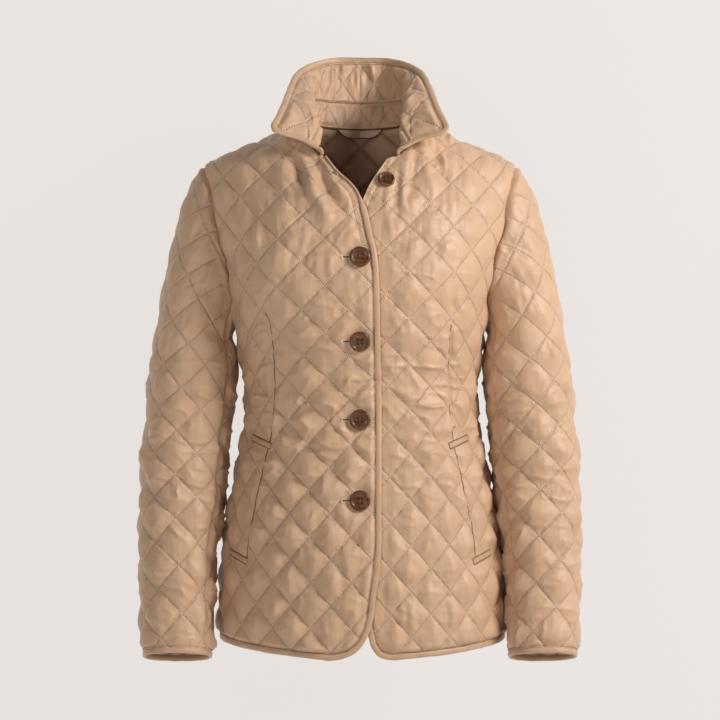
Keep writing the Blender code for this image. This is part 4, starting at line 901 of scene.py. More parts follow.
def foldHeight(rows, s, w):
    # soft ridges and troughs: each row is a line, the fold's width and its height
    height = np.zeros(np.shape(s))
    for sFrom, wFrom, sTo, wTo, width, rise in rows:
        ds, dw = sTo - sFrom, wTo - wFrom
        t = np.clip(((s - sFrom) * ds + (w - wFrom) * dw) / (ds**2 + dw**2), 0, 1)
        bow = foldBow * width * np.sin(2 * pi * t)
        away = np.hypot(s - sFrom - t * ds + bow, w - wFrom - t * dw)
        height += rise * bell(away, width / 2) * (foldEnds + (1 - foldEnds) * np.sin(pi * t))
    return height


def ridged(value):
    # sharp ridges where noise passes through nothing
    return (1 - np.abs(value)) ** 3 - crumples["ridgeBase"]


def waves(shape, run, away, seed):
    # soft waves along a line, which die out away from it
    rise, along, across, reach = shape
    return rise * noise(run / along, away / across, seed) * np.exp(-away / reach)


def diamonds(first, second, softness):
    # 0 on the stitch lines and 1 in a diamond's middle: the product of both families' sine waves
    return np.abs(np.sin(pi * first) * np.sin(pi * second)) ** softness


def sewnDown(panel, s, w):
    # how free the cloth is to rise (0 where it's held) and how deep the sewing draws it in
    free, groove = np.ones(np.shape(s)), np.zeros(np.shape(s))
    seed, sewing = panel["seed"], quilting
    for line in panel["seams"]:
        away, run, _ = distanceTo(line, s, w)
        free = free * smoothStep(*sewing["seamRise"], away)
        groove += sewing["seamDepth"] * bell(away, sewing["seamWidth"])
        groove += waves(sewing["seamWave"], run, away, seed + 5) * smoothStep(0, 2, away)
    for line in panel["bound"]:
        away, run, _ = distanceTo(line, s, w)
        free = free * smoothStep(*sewing["edgeRise"], away)
        groove += sewing["edgeDepth"] * bell(away - sewing["edgeStitch"], sewing["edgeWidth"])
        groove += waves(sewing["edgeWave"], run, away, seed + 6)
    for line, reach, drawn in panel.get("bands", ()):  # plain turned edge, stitched down and drawn up
        away, run, _ = distanceTo(line, s, w)
        along, across, offset, fading = sewing["bandWave"]
        free = free * smoothStep(*sewing["bandRise"], away - reach)
        groove += sewing["bandDepth"] * bell(away - reach, sewing["bandWidth"])
        groove += drawn * noise(run / along, away / across, seed + 13) * bell(away - reach + offset, fading)
    for line, depth, width, faded in panel.get("darts", ()):
        away, run, _ = distanceTo(line, s, w)
        share, near = sewing["dartPress"]
        fade = smoothStep(0, faded, runAlong(line)[-1] - run)
        groove += (depth * bell(away, width) + waves(sewing["dartWave"], run, away, seed + 7)) * fade
        free = free * (1 - share * bell(away, near) * fade)
    for place, reach in panel.get("pulls", ()):  # creases that spread from a button
        ds, dw = s - place[0], w - place[1]
        away = np.maximum(np.hypot(ds, dw), 1e-6)
        spokes = sewing["pullSpokes"]
        spokes = noise(spokes * ds / away, spokes * dw / away, seed + 14) * smoothStep(reach - 4, reach, away)
        groove += sewing["pull"] * spokes * np.exp(-np.maximum(away - reach, 0) / sewing["pullReach"])
    for place, reach in panel["seats"]:
        away = np.hypot(s - place[0], w - place[1])
        free = free * smoothStep(*sewing["seatRise"], away - reach)
    return free, groove


def puckered(first, second, seed):
    # short waves across the stitch lines of both families
    height, (along, across) = np.zeros(np.shape(first)), quilting["puckerWave"]
    for phase, other, number in ((first, second, 1), (second, first, 2)):
        line = np.round(phase)
        away = np.abs(phase - line) * quilting["pitch"]
        wave = noise(other * quilting["pitch"] / along + line * 7.3, away / across, seed + number)
        height += wave * np.exp(-away / quilting["puckerReach"]) * smoothStep(0, 2.0, away)
    return height


def crumpled(panel, s, w, pillow):
    # soft dents and sharp ridges across the cloth
    seed, size = panel["seed"], crumples
    soft, small, ridge, bend = (size[name] for name in ("soft", "small", "ridge", "bend"))
    dents = noise(s / soft[0], w / soft[1], seed + 3)
    dents = dents + size["smallShare"] * noise(s / small[0] + w / small[1], w / small[2], seed + 4)
    bent = w + bend[0] * noise(s / bend[1], w / bend[2], seed)
    ridges = ridged(noise(s / ridge[0] + w / ridge[1], bent / ridge[2], seed + 8))
    height = size["softShare"] * dents + size["ridgeShare"] * ridges * panel["loose"](s, w)
    return size["size"] * height * (size["least"] + (1 - size["least"]) * pillow)


def gathered(panel, s, w, pillow):
    # narrow and wide waves drawn down the cloth, strongest where it's least loose
    seed, size = panel["seed"], gathers
    reach, swayAcross, swayUp = size["sway"]
    sway = reach * noise(s / swayAcross, w / swayUp, seed + 9)
    least, most, across, up = size["strength"]
    strength = least + most * noise(s / across, w / up, seed + 10) ** 2
    narrow, wide = size["narrow"], size["wide"]
    height = (noise((s + sway) / narrow[0], w / narrow[1], seed + 11)
              + size["wideShare"] * noise((s - sway) / wide[0], w / wide[1], seed + 12))
    tight = size["whereTight"][0] - size["whereTight"][1] * panel["loose"](s, w)
    return size["size"] * height * strength * tight * (size["least"] + (1 - size["least"]) * pillow)


def skinHeights(panel, s, w):
    # heights of the outer and the inner skin over the form
    first, second = phases(panel, s, w)
    free, groove = sewnDown(panel, s, w)
    pillow = diamonds(first, second, quilting["softness"])
    least, varying = quilting["fill"]
    fill = least + varying * scattered(np.floor(first), np.floor(second), panel["seed"])
    full = 1 - quilting["flatter"] * smoothStep(*quilting["flatFrom"], w)
    calm, free = panel["calm"](s, w), free * (panel["press"](s, w) if "press" in panel else 1.0)
    creased = (crumpled(panel, s, w, pillow) + gathered(panel, s, w, pillow)) * calm
    swell = quilting["puff"] * pillow * fill * full + creased
    swell = swell + quilting["pucker"] * puckered(first, second, panel["seed"]) * calm
    lift = panel["lift"](s, w)
    outer = np.maximum(lift + quilting["wall"] + swell * free - groove, lift + quilting["thinnest"])
    inner = lift - (quilting["inward"] * pillow + quilting["inwardCrumple"] * creased) * free
    return outer, np.minimum(inner, lift + quilting["innermost"])


def inSpace(panel, s, w, height):
    # point at a height over the form, on the panel's own side of the jacket
    at = readForm(panel["form"], "points", s, w)
    way = unit(readForm(panel["form"], "normals", s, w))
    at = flipped(at + way * np.asarray(height, float)[..., None], panel["side"])
    if panel.get("shifted"):
        at[..., 0] += torsoSize("shift", w)
    return at, flipped(way, panel["side"])


def onCloth(panel, line, above=0.0):
    # points and normals on the outer skin along a pattern line
    outer, _ = skinHeights(panel, line[:, 0], line[:, 1])
    return inSpace(panel, line[:, 0], line[:, 1], outer + above)


def quiltMaps(panel, s, w):
    # two maps of the cloth: the stitch lines' phases, and the flat pattern in metres
    first, second = phases(panel, s, w)
    pair = (first, second) if panel["side"] > 0 else (second, first)
    return np.stack(pair, axis=-1).reshape(-1, 2), np.stack([s, w], axis=-1).reshape(-1, 2) * mm


def patternArea(s, w):
    # area of the flat pattern piece in square metres, from its grid's cells
    e, f = s[1:, 1:] - s[:-1, :-1], w[1:, 1:] - w[:-1, :-1]
    g, h = s[1:, :-1] - s[:-1, 1:], w[1:, :-1] - w[:-1, 1:]
    return float(np.abs(e * h - f * g).sum() / 2 * mm * mm)


def measureFlat(panel, s, w):
    # width, length and area of the flat pattern piece, in metres
    panel["flat"] = tuple(round(float(np.ptp(part)) * mm, 3) for part in (s, w))
    panel["area"] = round(patternArea(s, w), 4)


def sewPanel(name, nodes, panel, pins, spacing=2.4):
    # a closed wall over a patch of the pattern; pins move its armhole edge on to the seam
    bottom, right, top, left = panel["sides"]
    us = shares(max(runAlong(bottom)[-1], runAlong(top)[-1]), spacing)
    vs = shares(max(runAlong(left)[-1], runAlong(right)[-1], panel.get("tall", 0.0)), spacing)
    grid = patch(bottom, right, top, left, us, vs)
    s, w = grid[..., 0], grid[..., 1]
    outerHeight, innerHeight = skinHeights(panel, s, w)
    outer, _ = inSpace(panel, s, w, outerHeight)
    inner, _ = inSpace(panel, s, w, innerHeight)
    pins(panel, grid, outer, inner)
    rows, columns = s.shape
    points = np.vstack([outer.reshape(-1, 3), inner[::2, ::2].reshape(-1, 3)])
    quilt, flat = quiltMaps(panel, s, w)
    quiltIn, flatIn = quiltMaps(panel, s[::2, ::2], w[::2, ::2])
    piece = addPiece(name, points, shellFaces(rows, columns), "cloth", nodes,
                     dict(quilt=np.vstack([quilt, quiltIn]), cloth=np.vstack([flat, flatIn]),
                          inside=np.vstack([0 * flat, 0 * flatIn + 1])))
    measureFlat(panel, s, w)
    print(name, len(piece.data.loops) // 2, "triangles, flat", panel["flat"], panel["area"])
    return piece


# fronts

armSeat = 20.0  # flat cloth round the underarm's point
fronts = dict(
    overlapLift=5.2, overlapReach=(24.0, 120.0), overlapTop=(-94, -58), underPuff=0.35, spacing=1.9,
    buttons=(-167.0, -263.0, -358.5, -454.0), buttonSeat=17.0, neckButton=(31.0, -73.0),
    tabs=(((129.0, -380.8), (105.5, -390.5)), ((155.5, -519.0), (134.0, -528.3))),
    crossingRight=(13.5, -442.0), crossingLeft=(57.0, -453.0),
    dartRight=((-108.5, -229), (-105, -245), (-101.5, -285), (-100.5, -318), (-101.5, -350), (-104, -366)),
    mouthRight=((-104.5, -369), (-111, -398), (-118, -432), (-126, -468), (-133.5, -508), (-134.8, -526)),
    dartLeft=((105.5, -243), (105, -272), (104.5, -303), (104.5, -335), (108, -360)),
    mouthLeft=((110, -368), (112.8, -392.6), (119, -418.6), (125, -453), (131.6, -478), (137.5, -522)),
    vBand=((9.0, 2.6), (8.0, 0.9)),  # plain band at the neck, under and upper front: width, waves
    vLow=(-104, -150),  # height of that band's lower end
    narrowTape=(-114, -92, 0.60),  # heights between which the upper tape narrows, and by how much
    dartGroove=(1.3, 2.0, 14.0), mouthGroove=(1.6, 2.0, 0.1), pullsFrom=15.0, tabSeat=9.0, tabStep=9.0,
    pocketFlat=0.45, pocketReach=(12.0, 26.0), underFlat=((24, 44), (-100, -80)),
    looseness=(0.5, 1.3, -355.0, 95.0), calmness=(0.65, 112, 150),
    folds=dict(  # x and height of both ends, width, rise
        right=((-95, -142, -97, -226, 76, 8.5), (-61, -42, -22, -108, 13, -8.0),
               (-73, -46, -36, -122, 15, 6.5), (-48, -48, -20, -92, 9, 3.0), (-82, -40, -62, -84, 14, -7.0),
               (-100, -38, -77, -128, 22, 2.0), (-120, -60, -112, -140, 24, -1.4),
               (-94, -110, -102, -225, 36, 1.8), (-66, -110, -70, -230, 30, -1.2),
               (-60, -345, -132, -335, 30, 1.8), (-70, -372, -135, -368, 30, -1.6),
               (-30, -395, -90, -404, 28, 1.4)),
        left=((84, -150, 86, -222, 88, 5.0), (57, -38, 46, -96, 11, 3.0), (66, -38, 58, -104, 10, -3.0),
              (76, -36, 84, -100, 12, 3.0), (88, -32, 104, -84, 11, -2.4), (40, -66, 26, -118, 10, 2.4),
              (48, -62, 40, -128, 9, -2.4),
              (98, -100, 104, -210, 34, 1.4), (70, -100, 72, -220, 28, -1.1),
              (60, -340, 132, -333, 28, 1.8), (64, -368, 134, -372, 28, -1.6), (30, -398, 92, -392, 28, 1.4)),
    ),
)


def frontPanel(side):
    # one front: the lines of its pattern, its sewing, and what raises and presses its cloth
    name = "right" if side < 0 else "left"
    panel = dict(form=frontForm, side=side, shifted=True, seed=11 if side < 0 else 23,
                 crossing=fronts["crossing" + name.capitalize()], narrowing=frontNarrowing)
    edge = smoothLine(onFront(side, cut["topEdge" if side < 0 else "underEdge"]), 3.0)
    hem = hemLine(frontForm, "front", edge[-1, 0] + 6)
    heights = np.linspace(cut["hemSide"], torso["underarm"], 40)
    seam = sideSeam(frontForm, heights)
    neck = neckLine(frontForm, "front")
    shoulder = shoulderSeam(frontForm, "front", np.linspace(torso["neckHalf"], torso["shoulderEnd"], 20))
    outline = np.vstack([edge, hem])
    narrowFrom, narrowTo, narrower = fronts["narrowTape"]
    panel["tapeShare"] = lambda w: 1 - (narrower if side < 0 else 0.0) * smoothStep(narrowFrom, narrowTo, w)
    tape = outline + leftOf(outline) * cut["tapeWidth"] * panel["tapeShare"](outline[:, 1])[:, None]
    split = int(np.argmin(tape[:, 0] + tape[:, 1]))
    if side > 0:  # the under front's top has no tape
        bareFrom, bareTo = cut["bareTop"]
        bare = outline[:, 1] > bareFrom
        share = smoothStep(bareFrom, bareTo, outline[:, 1])[:, None]
        tape = outline + leftOf(outline) * cut["tapeWidth"] * np.where(bare[:, None], 0.0, share)
        top = smoothLine(onFront(side, cut["underTop"]), 3.0)
    left = np.vstack([tape[split::-1], top, neck[::-1][1:]] if side > 0 else [tape[split::-1], neck[::-1]])
    end = sideSeam(frontForm, np.array([cut["hemSide"] + cut["tapeWidth"]]))
    bottom = np.vstack([tape[split:-1], end])
    right = np.vstack([end, seam[seam[:, 1] > end[0, 1] + 2], frontArm[::-1][1:]])
    panel["sides"] = (bottom, right, shoulder, left)
    panel["tape"] = tape if side < 0 else tape[~bare]
    panel["seams"] = [spacedLine(line, coarse) for line in (seam, frontArm, shoulder, neck)]
    panel["bound"] = [spacedLine(tape, coarse)]
    buttonRows = [(0.0, height) for height in fronts["buttons"]] if side < 0 else [fronts["neckButton"]]
    buttonPlaces = onFront(side, buttonRows)
    seats = [(place, fronts["buttonSeat"]) for place in buttonPlaces]
    for ends in fronts["tabs"]:
        rows = flipped(spacedLine(np.array(ends), fronts["tabStep"]), side)
        seats += [(place, fronts["tabSeat"]) for place in onFront(side, rows)]
    panel["seats"] = seats + [(frontArm[-1], armSeat)]
    dart, mouth = (smoothLine(onFront(side, fronts[part + name.capitalize()])[::-1], 8.0)
                   for part in ("dart", "mouth"))
    panel["darts"] = [(dart, *fronts["dartGroove"]), (mouth, *fronts["mouthGroove"])]
    panel["pulls"] = [(place, fronts["pullsFrom"]) for place in buttonPlaces]
    upper = 1 if side < 0 else 0
    edge, (reach, drawn) = (outline, tape)[upper], fronts["vBand"][upper]
    openEdge = edge[edge[:, 1] > fronts["vLow"][upper]]
    panel["bands"] = [(spacedLine(openEdge, coarse), reach, drawn)]
    panel["vLine"] = openEdge + leftOf(openEdge) * reach
    folds = []
    for xFrom, zFrom, xTo, zTo, width, rise in fronts["folds"][name]:
        ends = onFront(side, [(xFrom, zFrom), (xTo, zTo)])
        folds.append((*ends[0], *ends[1], width, rise))

    def lift(s, w):
        raised = foldHeight(folds, s, w)
        if side < 0:
            near = 1 - smoothStep(*fronts["overlapReach"], s)
            raised = raised + fronts["overlapLift"] * near * (1 - smoothStep(*fronts["overlapTop"], w))
        return raised

    def press(s, w):
        away, _, _ = distanceTo(mouth, s, w)
        beyond = s > np.interp(w, mouth[:, 1], mouth[:, 0])
        flat = 1 - fronts["pocketFlat"] * (1 - smoothStep(*fronts["pocketReach"], away)) * beyond
        if side < 0:
            return flat
        across, up = fronts["underFlat"]
        under = (1 - smoothStep(*across, s)) * (1 - smoothStep(*up, w))
        return flat * (1 - (1 - fronts["underPuff"]) * under)

    panel["lift"], panel["press"] = lift, press
    panel["loose"], panel["calm"] = looseAround(*fronts["looseness"]), calmTowards(*fronts["calmness"])
    return panel


def looseAround(least, more, middle, reach):
    # looser cloth about one height
    return lambda s, w: least + more * bell(w - middle, reach)


def calmTowards(share, near, far):
    # smoother cloth towards the side seams
    return lambda s, w: 1 - share * smoothStep(near, far, np.abs(s))


def pinBody(name):
    # moves the armhole edge's outer points on to the seam's mitre, less and less further in
    arm, columns = (frontArm, (-1,)) if name == "front" else (backArm, (-1, 0))
    run = runAlong(arm)

    def pins(panel, grid, outer, inner):
        for column in columns:
            way = -1 if column == -1 else 1  # from the edge inwards
            line = runAlong(grid[:, column])
            fromTop = line[-1] - line
            share = np.interp(fromTop, run, armShares[name])
            mitre = flipped(atShare(armhole, "mitre", share), -way * panel["side"])
            goal = inner[:, column] + mitre * (quilting["wall"] - quilting["seamDepth"])
            weight = (fromTop < run[-1] + 1) * (1 - smoothStep(run[-1] - 6, run[-1] + 1, fromTop))
            move = (goal - outer[:, column]) * weight[:, None]
            fall = nearEdge(runsAlong(grid[:, ::way]))[:, ::way]
            outer += move[:, None] * fall[..., None]
    return pins


rightFront, leftFront = frontPanel(-1.0), frontPanel(1.0)
for label, panel in (("right", rightFront), ("left", leftFront)):
    sewPanel(f"{label}_front", (f"front_{label}",), panel, pinBody("front"),
                                  fronts["spacing"])
print("fronts done")


# back

backs = dict(
    crossing=(0.0, -450.0), looseness=(0.35, 1.1, -345.0, 70.0), calmness=(0.65, 112, 150), seed=37,
    folds=((-150, -345, -20, -352, 34, 1.6), (20, -352, 150, -342, 34, 1.6),
           (-140, -378, 140, -382, 38, -1.5), (-90, -100, -80, -190, 36, 1.8), (90, -100, 82, -190, 36, 1.8)),
)


def acrossCentre(half):
    # a line that starts in the centre, joined to its other half turned over
    return np.vstack([flipped(half, -1.0)[::-1], half[1:]])


def backPanel():
    # one plain panel, the same on both sides of the centre
    heights = np.linspace(cut["hemSide"] + cut["tapeWidth"], torso["underarm"], 40)
    seam = sideSeam(backForm, heights)
    shoulder = shoulderSeam(backForm, "back", np.linspace(torso["neckHalf"], torso["shoulderEnd"], 20))
    neck = neckLine(backForm, "back")
    bottom = acrossCentre(hemLine(backForm, "back", 0.0)) + np.array([0.0, cut["tapeWidth"]])
    bottom[0], bottom[-1] = flipped(seam[0], -1.0), seam[0]
    right = np.vstack([seam, backArm[::-1][1:]])
    top = acrossCentre(np.vstack([neck[::-1], shoulder[1:]]))
    seams = (seam, backArm, shoulder)
    seams += tuple(flipped(line, -1.0) for line in seams) + (acrossCentre(neck[::-1])[::-1],)
    return dict(form=backForm, side=1.0, shifted=True, seed=backs["seed"], crossing=backs["crossing"],
                tape=bottom, sides=(bottom, right, top, flipped(right, -1.0)),
                seams=[spacedLine(line, coarse) for line in seams], bound=[spacedLine(bottom, coarse)],
                seats=[(flipped(backArm[-1], way), armSeat) for way in (1.0, -1.0)],
                lift=lambda s, w: foldHeight(backs["folds"], s, w),
                loose=looseAround(*backs["looseness"]), calm=calmTowards(*backs["calmness"]))


back = backPanel()
backPiece = sewPanel("back_panel", ("back",), back, pinBody("back"))
print("back done")


# sleeves

sleeves = dict(
    folds=((-60, -330, 60, -318, 30, 2.2), (-40, -362, 80, -372, 30, -2.0), (0, -300, 70, -282, 24, 1.8),
           (-70, -415, 50, -404, 30, 2.2), (-20, -445, 80, -438, 28, -1.6), (-60, -490, 40, -482, 30, 1.6),
           (-30, -560, 70, -552, 32, 1.6), (-80, -600, 20, -606, 30, 1.4)),
    lean=math.radians(-3.5), leaning=(-500.0, -330.0), quiltHeight=56.0, press=0.78,
    crossing=dict(right=(-6.0, -515.0), left=(0.0, -536.0)),
    capStrip=(0.9, 5.5, 3.4, -215, -170),  # rise, distance from the seam, width, heights it fades between
    looseness=(0.45, 0.95, -330, -270), calmness=(0.65, 14, 40),
)


def sleeveLean(w):
    # the quilting's lean grows up the sleeve; the drift is the sideways way that it has come by then
    low, high = sleeves["leaning"]
    t = np.clip((w - low) / (high - low), 0, 1)
    drift = (high - low) * (t**3 - t**4 / 2) + np.maximum(w - high, 0)
    return sleeves["lean"] * smoothStep(low, high, w), sleeves["lean"] * drift


def sleevePanel(side, part):
    # top or under sleeve: between its two seams, from the cuff up to the cap's edge
    turnFrom, turnTo = ((sleeve["backSeam"], sleeve["frontSeam"]) if part == "top"
                        else (sleeve["frontSeam"], 360 + sleeve["backSeam"]))
    low = sleeve["cuff"] + cut["tapeWidth"]
    turn = np.radians(np.linspace(turnFrom, turnTo, 120))
    cap = np.stack([np.interp(turn, sleeveTurns, sleeveForm["ringRun"]),
                    sleeve["ring"] + np.interp(turn, sleeveTurns, sleeveForm["capRun"])], axis=1)
    lines = []
    for degrees, top in ((turnFrom, cap[0, 1]), (turnTo, cap[-1, 1])):
        heights = np.linspace(low, top, 60)
        lines.append(np.stack([widthOfTurn(degrees, heights), heights], axis=1))
    bottom = np.array([lines[0][0], lines[1][0]])
    panel = dict(form=sleeveForm, side=side, seed=51 + side * 3, cap=cap, capTurn=turn,
                 crossing=sleeves["crossing"]["right" if side < 0 else "left"],
                 height=sleeves["quiltHeight"], lean=sleeveLean)
    panel["sides"] = (bottom, lines[1], cap, lines[0])
    panel["tall"] = float(cap[:, 1].max() - low) if part == "top" else 0.0
    panel["seams"] = [spacedLine(line, coarse) for line in lines + [cap]]
    panel["bound"] = [bottom]
    panel["seats"] = [(cap[np.argmin(np.abs(turn - pi))], armSeat)]

    def lift(s, w):
        raised = foldHeight(sleeves["folds"], s, w)
        if part == "top":  # the seam's turnings are pressed into the sleeve's head
            rise, place, width, below, above = sleeves["capStrip"]
            away, _, _ = distanceTo(spacedLine(cap, coarse), s, w)
            raised = raised + rise * bell(away - place, width) * smoothStep(below, above, w)
        return raised

    tight, more, elbow, shoulder = sleeves["looseness"]
    share, near, far = sleeves["calmness"]
    panel["lift"], panel["press"] = lift, lambda s, w: sleeves["press"]
    panel["loose"] = lambda s, w: tight + more * (1 - smoothStep(elbow, shoulder, w))
    panel["calm"] = lambda s, w: 1 - share * (1 - smoothStep(near, far, np.abs(s)))
    panel["stitched"] = bottom[::-1] if side > 0 else bottom
    return panel


def pinSleeve(panel, grid, outer, inner):
    # moves the cap's edge on to the armhole's seam, less and less further down
    top, cap = runAlong(grid[-1]), runAlong(panel["cap"])
    share = np.interp(top / top[-1], cap / cap[-1], panel["capTurn"]) / pi
    at, mitre = (flipped(atShare(armhole, name, share), panel["side"]) for name in ("at", "mitre"))
    fall = nearEdge(runsAlong(grid[::-1].transpose(1, 0, 2)).T[::-1])[..., None]
    outer += (at + mitre * (quilting["wall"] - quilting["seamDepth"]) - outer[-1]) * fall
    inner += (at - inner[-1]) * fall


sleevePieces, sleevePanels = {}, {}
for side, label in ((-1.0, "right"), (1.0, "left")):
    for part in ("top", "under"):
        panel = sleevePanel(side, part)
        sleevePanels[label, part] = panel
        sleevePieces[label, part] = sewPanel(f"{label}_sleeve_{part}", (f"sleeve_{label}_{part}",), panel,
                                             pinSleeve)
print("sleeves done")


# collar

collar = dict(
    along=(0.00, 0.20, 0.38, 0.55, 0.70, 0.85, 1.00),
    bellyX=(0, 29, 47, 47, 40, 33, 66), bellyY=(64, 58, 40, 10, -14, -46, -80),
    bellyZ=(48, 48, 49, 50, 40, 14, -25),
    edgeX=(0, 33, 57.5, 79, 90.5, 102, 112.5), edgeY=(67, 62, 42, 14, -21, -60, -86),
    edgeZ=(92.5, 91.5, 82.5, 66, 41, 12, -16),
    depth=85.0, stand=0.34, halfLength=205.0, wall=1.6, thinnest=0.6, tip=5.0, spacing=1.6,
    clear=(0.5, 2.5, 0.85),  # off the neck seam, more of it in front, and from where
    crossing=(22.5, 52.0), puff=3.2, softness=0.55, inward=0.8, edgeRise=(0, 7), seamRise=(0.5, 6),
    wrinkle=2.8, inwardWrinkle=0.5, softShare=0.6, soft=(13, 12), fineShare=0.4, fine=(5, 14),
    ridgeShare=0.9, ridge=(11, 30, 90), bend=(7, 20),
    upright=0.55, uprightWave=(4.2, 40), uprightFade=6.0,
    roll=(1.3, 3.0, 2.2), groove=(1.1, 1.4),  # beside the stand's seam: height, place, width; depth, width
    seamWave=(0.45, 4.0, math.inf, 6.0), edgeWave=(0.5, 4.5, math.inf, 8.0),
)


def neckSeam(along):
    # points of the neck seam from the centre back (0) to its front end (1), and their normals
    backLine, frontLine = neckLine(backForm, "back")[::-1], neckLine(frontForm, "front")[1:]
    at = np.vstack([pointsOf(backForm, backLine), pointsOf(frontForm, frontLine)])
    way = np.vstack([normalsOf(backForm, backLine), normalsOf(frontForm, frontLine)])
    run = runAlong(at) / runAlong(at)[-1]
    read = [np.stack([np.interp(along, run, grid[:, k]) for k in range(3)], axis=-1) for grid in (at, way)]
    return read[0], unit(read[1])


def collarFormOf():
    # rolled surface: it leaves the neck seam, bellies out and ends at the free edge
    sAxis = np.arange(-collar["halfLength"], collar["halfLength"] + 1, 2.5)
    wAxis = np.linspace(0, collar["depth"], 35)
    along = np.abs(sAxis) / collar["halfLength"]
    belly, edge = (np.stack([through(collar["along"], collar[name + axis], along) for axis in "XYZ"], axis=1)
                   for name in ("belly", "edge"))
    seam, way = neckSeam(along)
    clear, more, ahead = collar["clear"]
    seam = seam + way * (quilting["wall"] + clear + more * smoothStep(ahead, 1, along))[:, None]
    v = (wAxis / collar["depth"])[:, None, None]
    points = (1 - v)**2 * seam + 2 * v * (1 - v) * belly + v**2 * edge
    points[..., 0] *= np.where(sAxis < 0, -1.0, 1.0)
    return makeForm(sAxis, wAxis, points, 1.0)


collarForm = collarFormOf()


def collarGrid():
    # pattern grid with rounded upper corners
    end, top = collar["halfLength"] - cut["tapeWidth"] / 2, collar["depth"] - cut["tapeWidth"] / 2
    us, vs = shares(2 * end, collar["spacing"]), shares(top, collar["spacing"])
    w = vs[:, None] * top + 0 * us[None]
    near = np.clip((w - top + collar["tip"]) / collar["tip"], 0, 1)
    half = end - collar["tip"] * (1 - np.sqrt(np.clip(1 - near**2, 0, 1)))
    return (us[None] * 2 - 1) * half, w


collarPanel = dict(crossing=collar["crossing"], side=1.0)


def collarHeights(s, w):
    # puffed quilting and wrinkles, held down at the edges and at the stand's seam, which is rolled up
    first, second = phases(collarPanel, s, w)
    end, top = collar["halfLength"] - cut["tapeWidth"], collar["depth"] - cut["tapeWidth"]
    fromSeam = w - collar["depth"] * collar["stand"]
    edge = np.minimum(np.minimum(end - np.abs(s), top - w), w)
    free = smoothStep(*collar["edgeRise"], edge) * smoothStep(*collar["seamRise"], np.abs(fromSeam))
    pillow = diamonds(first, second, collar["softness"])
    (reach, spacing), (across, up, out) = collar["bend"], collar["ridge"]
    bent = s + reach * noise(s / spacing, w / spacing, 70)
    wrinkle = collar["ridgeShare"] * ridged(noise(bent / across, w / up + np.abs(s) / out, 71))
    for share, (across, up), seed in ((collar["softShare"], collar["soft"], 74),
                                      (collar["fineShare"], collar["fine"], 72)):
        wrinkle = wrinkle + share * noise(s / across, w / up, seed)
    wrinkle = wrinkle * collar["wrinkle"]
    (across, up), fade = collar["uprightWave"], collar["uprightFade"]
    upright = collar["upright"] * noise(s / across, w / up, 75)
    upright = upright * smoothStep(0, -fade, fromSeam) * smoothStep(0, fade, w)
    (height, place, width), (depth, narrow) = collar["roll"], collar["groove"]
    rise = height * bell(fromSeam - place, width) - depth * bell(fromSeam, narrow)
    rise = rise + waves(collar["seamWave"], s, np.abs(fromSeam), 73)
    rise = rise + waves(collar["edgeWave"], s + w, edge, 76)
    rise = rise - quilting["edgeDepth"] * bell(edge - quilting["edgeStitch"], quilting["edgeWidth"])
    outer = collar["wall"] + (collar["puff"] * pillow + wrinkle + upright) * free + rise
    sunk = collar["inward"] * collar["puff"] * pillow + collar["inwardWrinkle"] * wrinkle
    inner = -sunk * free - collar["inwardWrinkle"] * rise
    return np.maximum(outer, collar["thinnest"]), np.minimum(inner, quilting["innermost"])


def onCollar(line, above=0.0):
    # points and normals on the collar's outer skin along a pattern line
    out, _ = collarHeights(line[:, 0], line[:, 1])
    normal = normalsOf(collarForm, line)
    return pointsOf(collarForm, line) + normal * (out + above)[:, None], normal


def makeCollar():
    # stand and fall in one wall
    s, w = collarGrid()
    out, inside = collarHeights(s, w)
    at = readForm(collarForm, "points", s, w)
    way = unit(readForm(collarForm, "normals", s, w))
    quilt, flat = quiltMaps(collarPanel, s, w)
    piece = slab("collar", at + way * out[..., None], at + way * inside[..., None], "cloth",
                 ("collar_stand", "collar_fall"), dict(quilt=quilt, cloth=flat))
    measureFlat(collarPanel, s, w)
    return piece


collarPiece = makeCollar()
print("collar done", len(collarPiece.data.loops) // 2, "triangles", collarPanel["flat"], collarPanel["area"])


# tapes

tapes = dict(width=6.8, inside=-0.4, thick=4.4, roundness=2.6, points=16, wave=0.28)
cord = dict(width=1.2, inside=-2.4, thick=2.8, roundness=2.2, points=12, wave=0.1)
taping = dict(above=0.15, roundness=2.3, flat=0.95, uneven=(0.05, 9.0), waveLength=14.0, girth=14.0,
              step=2.5, hint=5.0, cuffHint=6.0)


def tapeRings(base, outward, normal, wall, seed, size, share):
    # rounded profile carried along an edge: a superellipse, a little uneven
    turn = np.linspace(0, 2 * pi, size["points"], endpoint=False)
    half = (size["width"] - size["inside"]) / 2
    a = half + size["inside"] + half * rounded(turn, np.cos, size["roundness"])
    b = wall / 2 + taping["above"] + size["thick"] / 2 * rounded(turn, np.sin, taping["roundness"])
    run, (most, length) = runAlong(base), taping["uneven"]
    uneven = most * noise(run / length, 0 * run, seed)
    sway = size["wave"] * noise(run / taping["waveLength"], 0 * run, seed + 1)
    wide, thick = a * ((1 + uneven) * share)[:, None], b * (taping["flat"] - uneven)[:, None] + sway[:, None]
    return base[:, None] + wide[..., None] * outward[:, None] + thick[..., None] * normal[:, None]


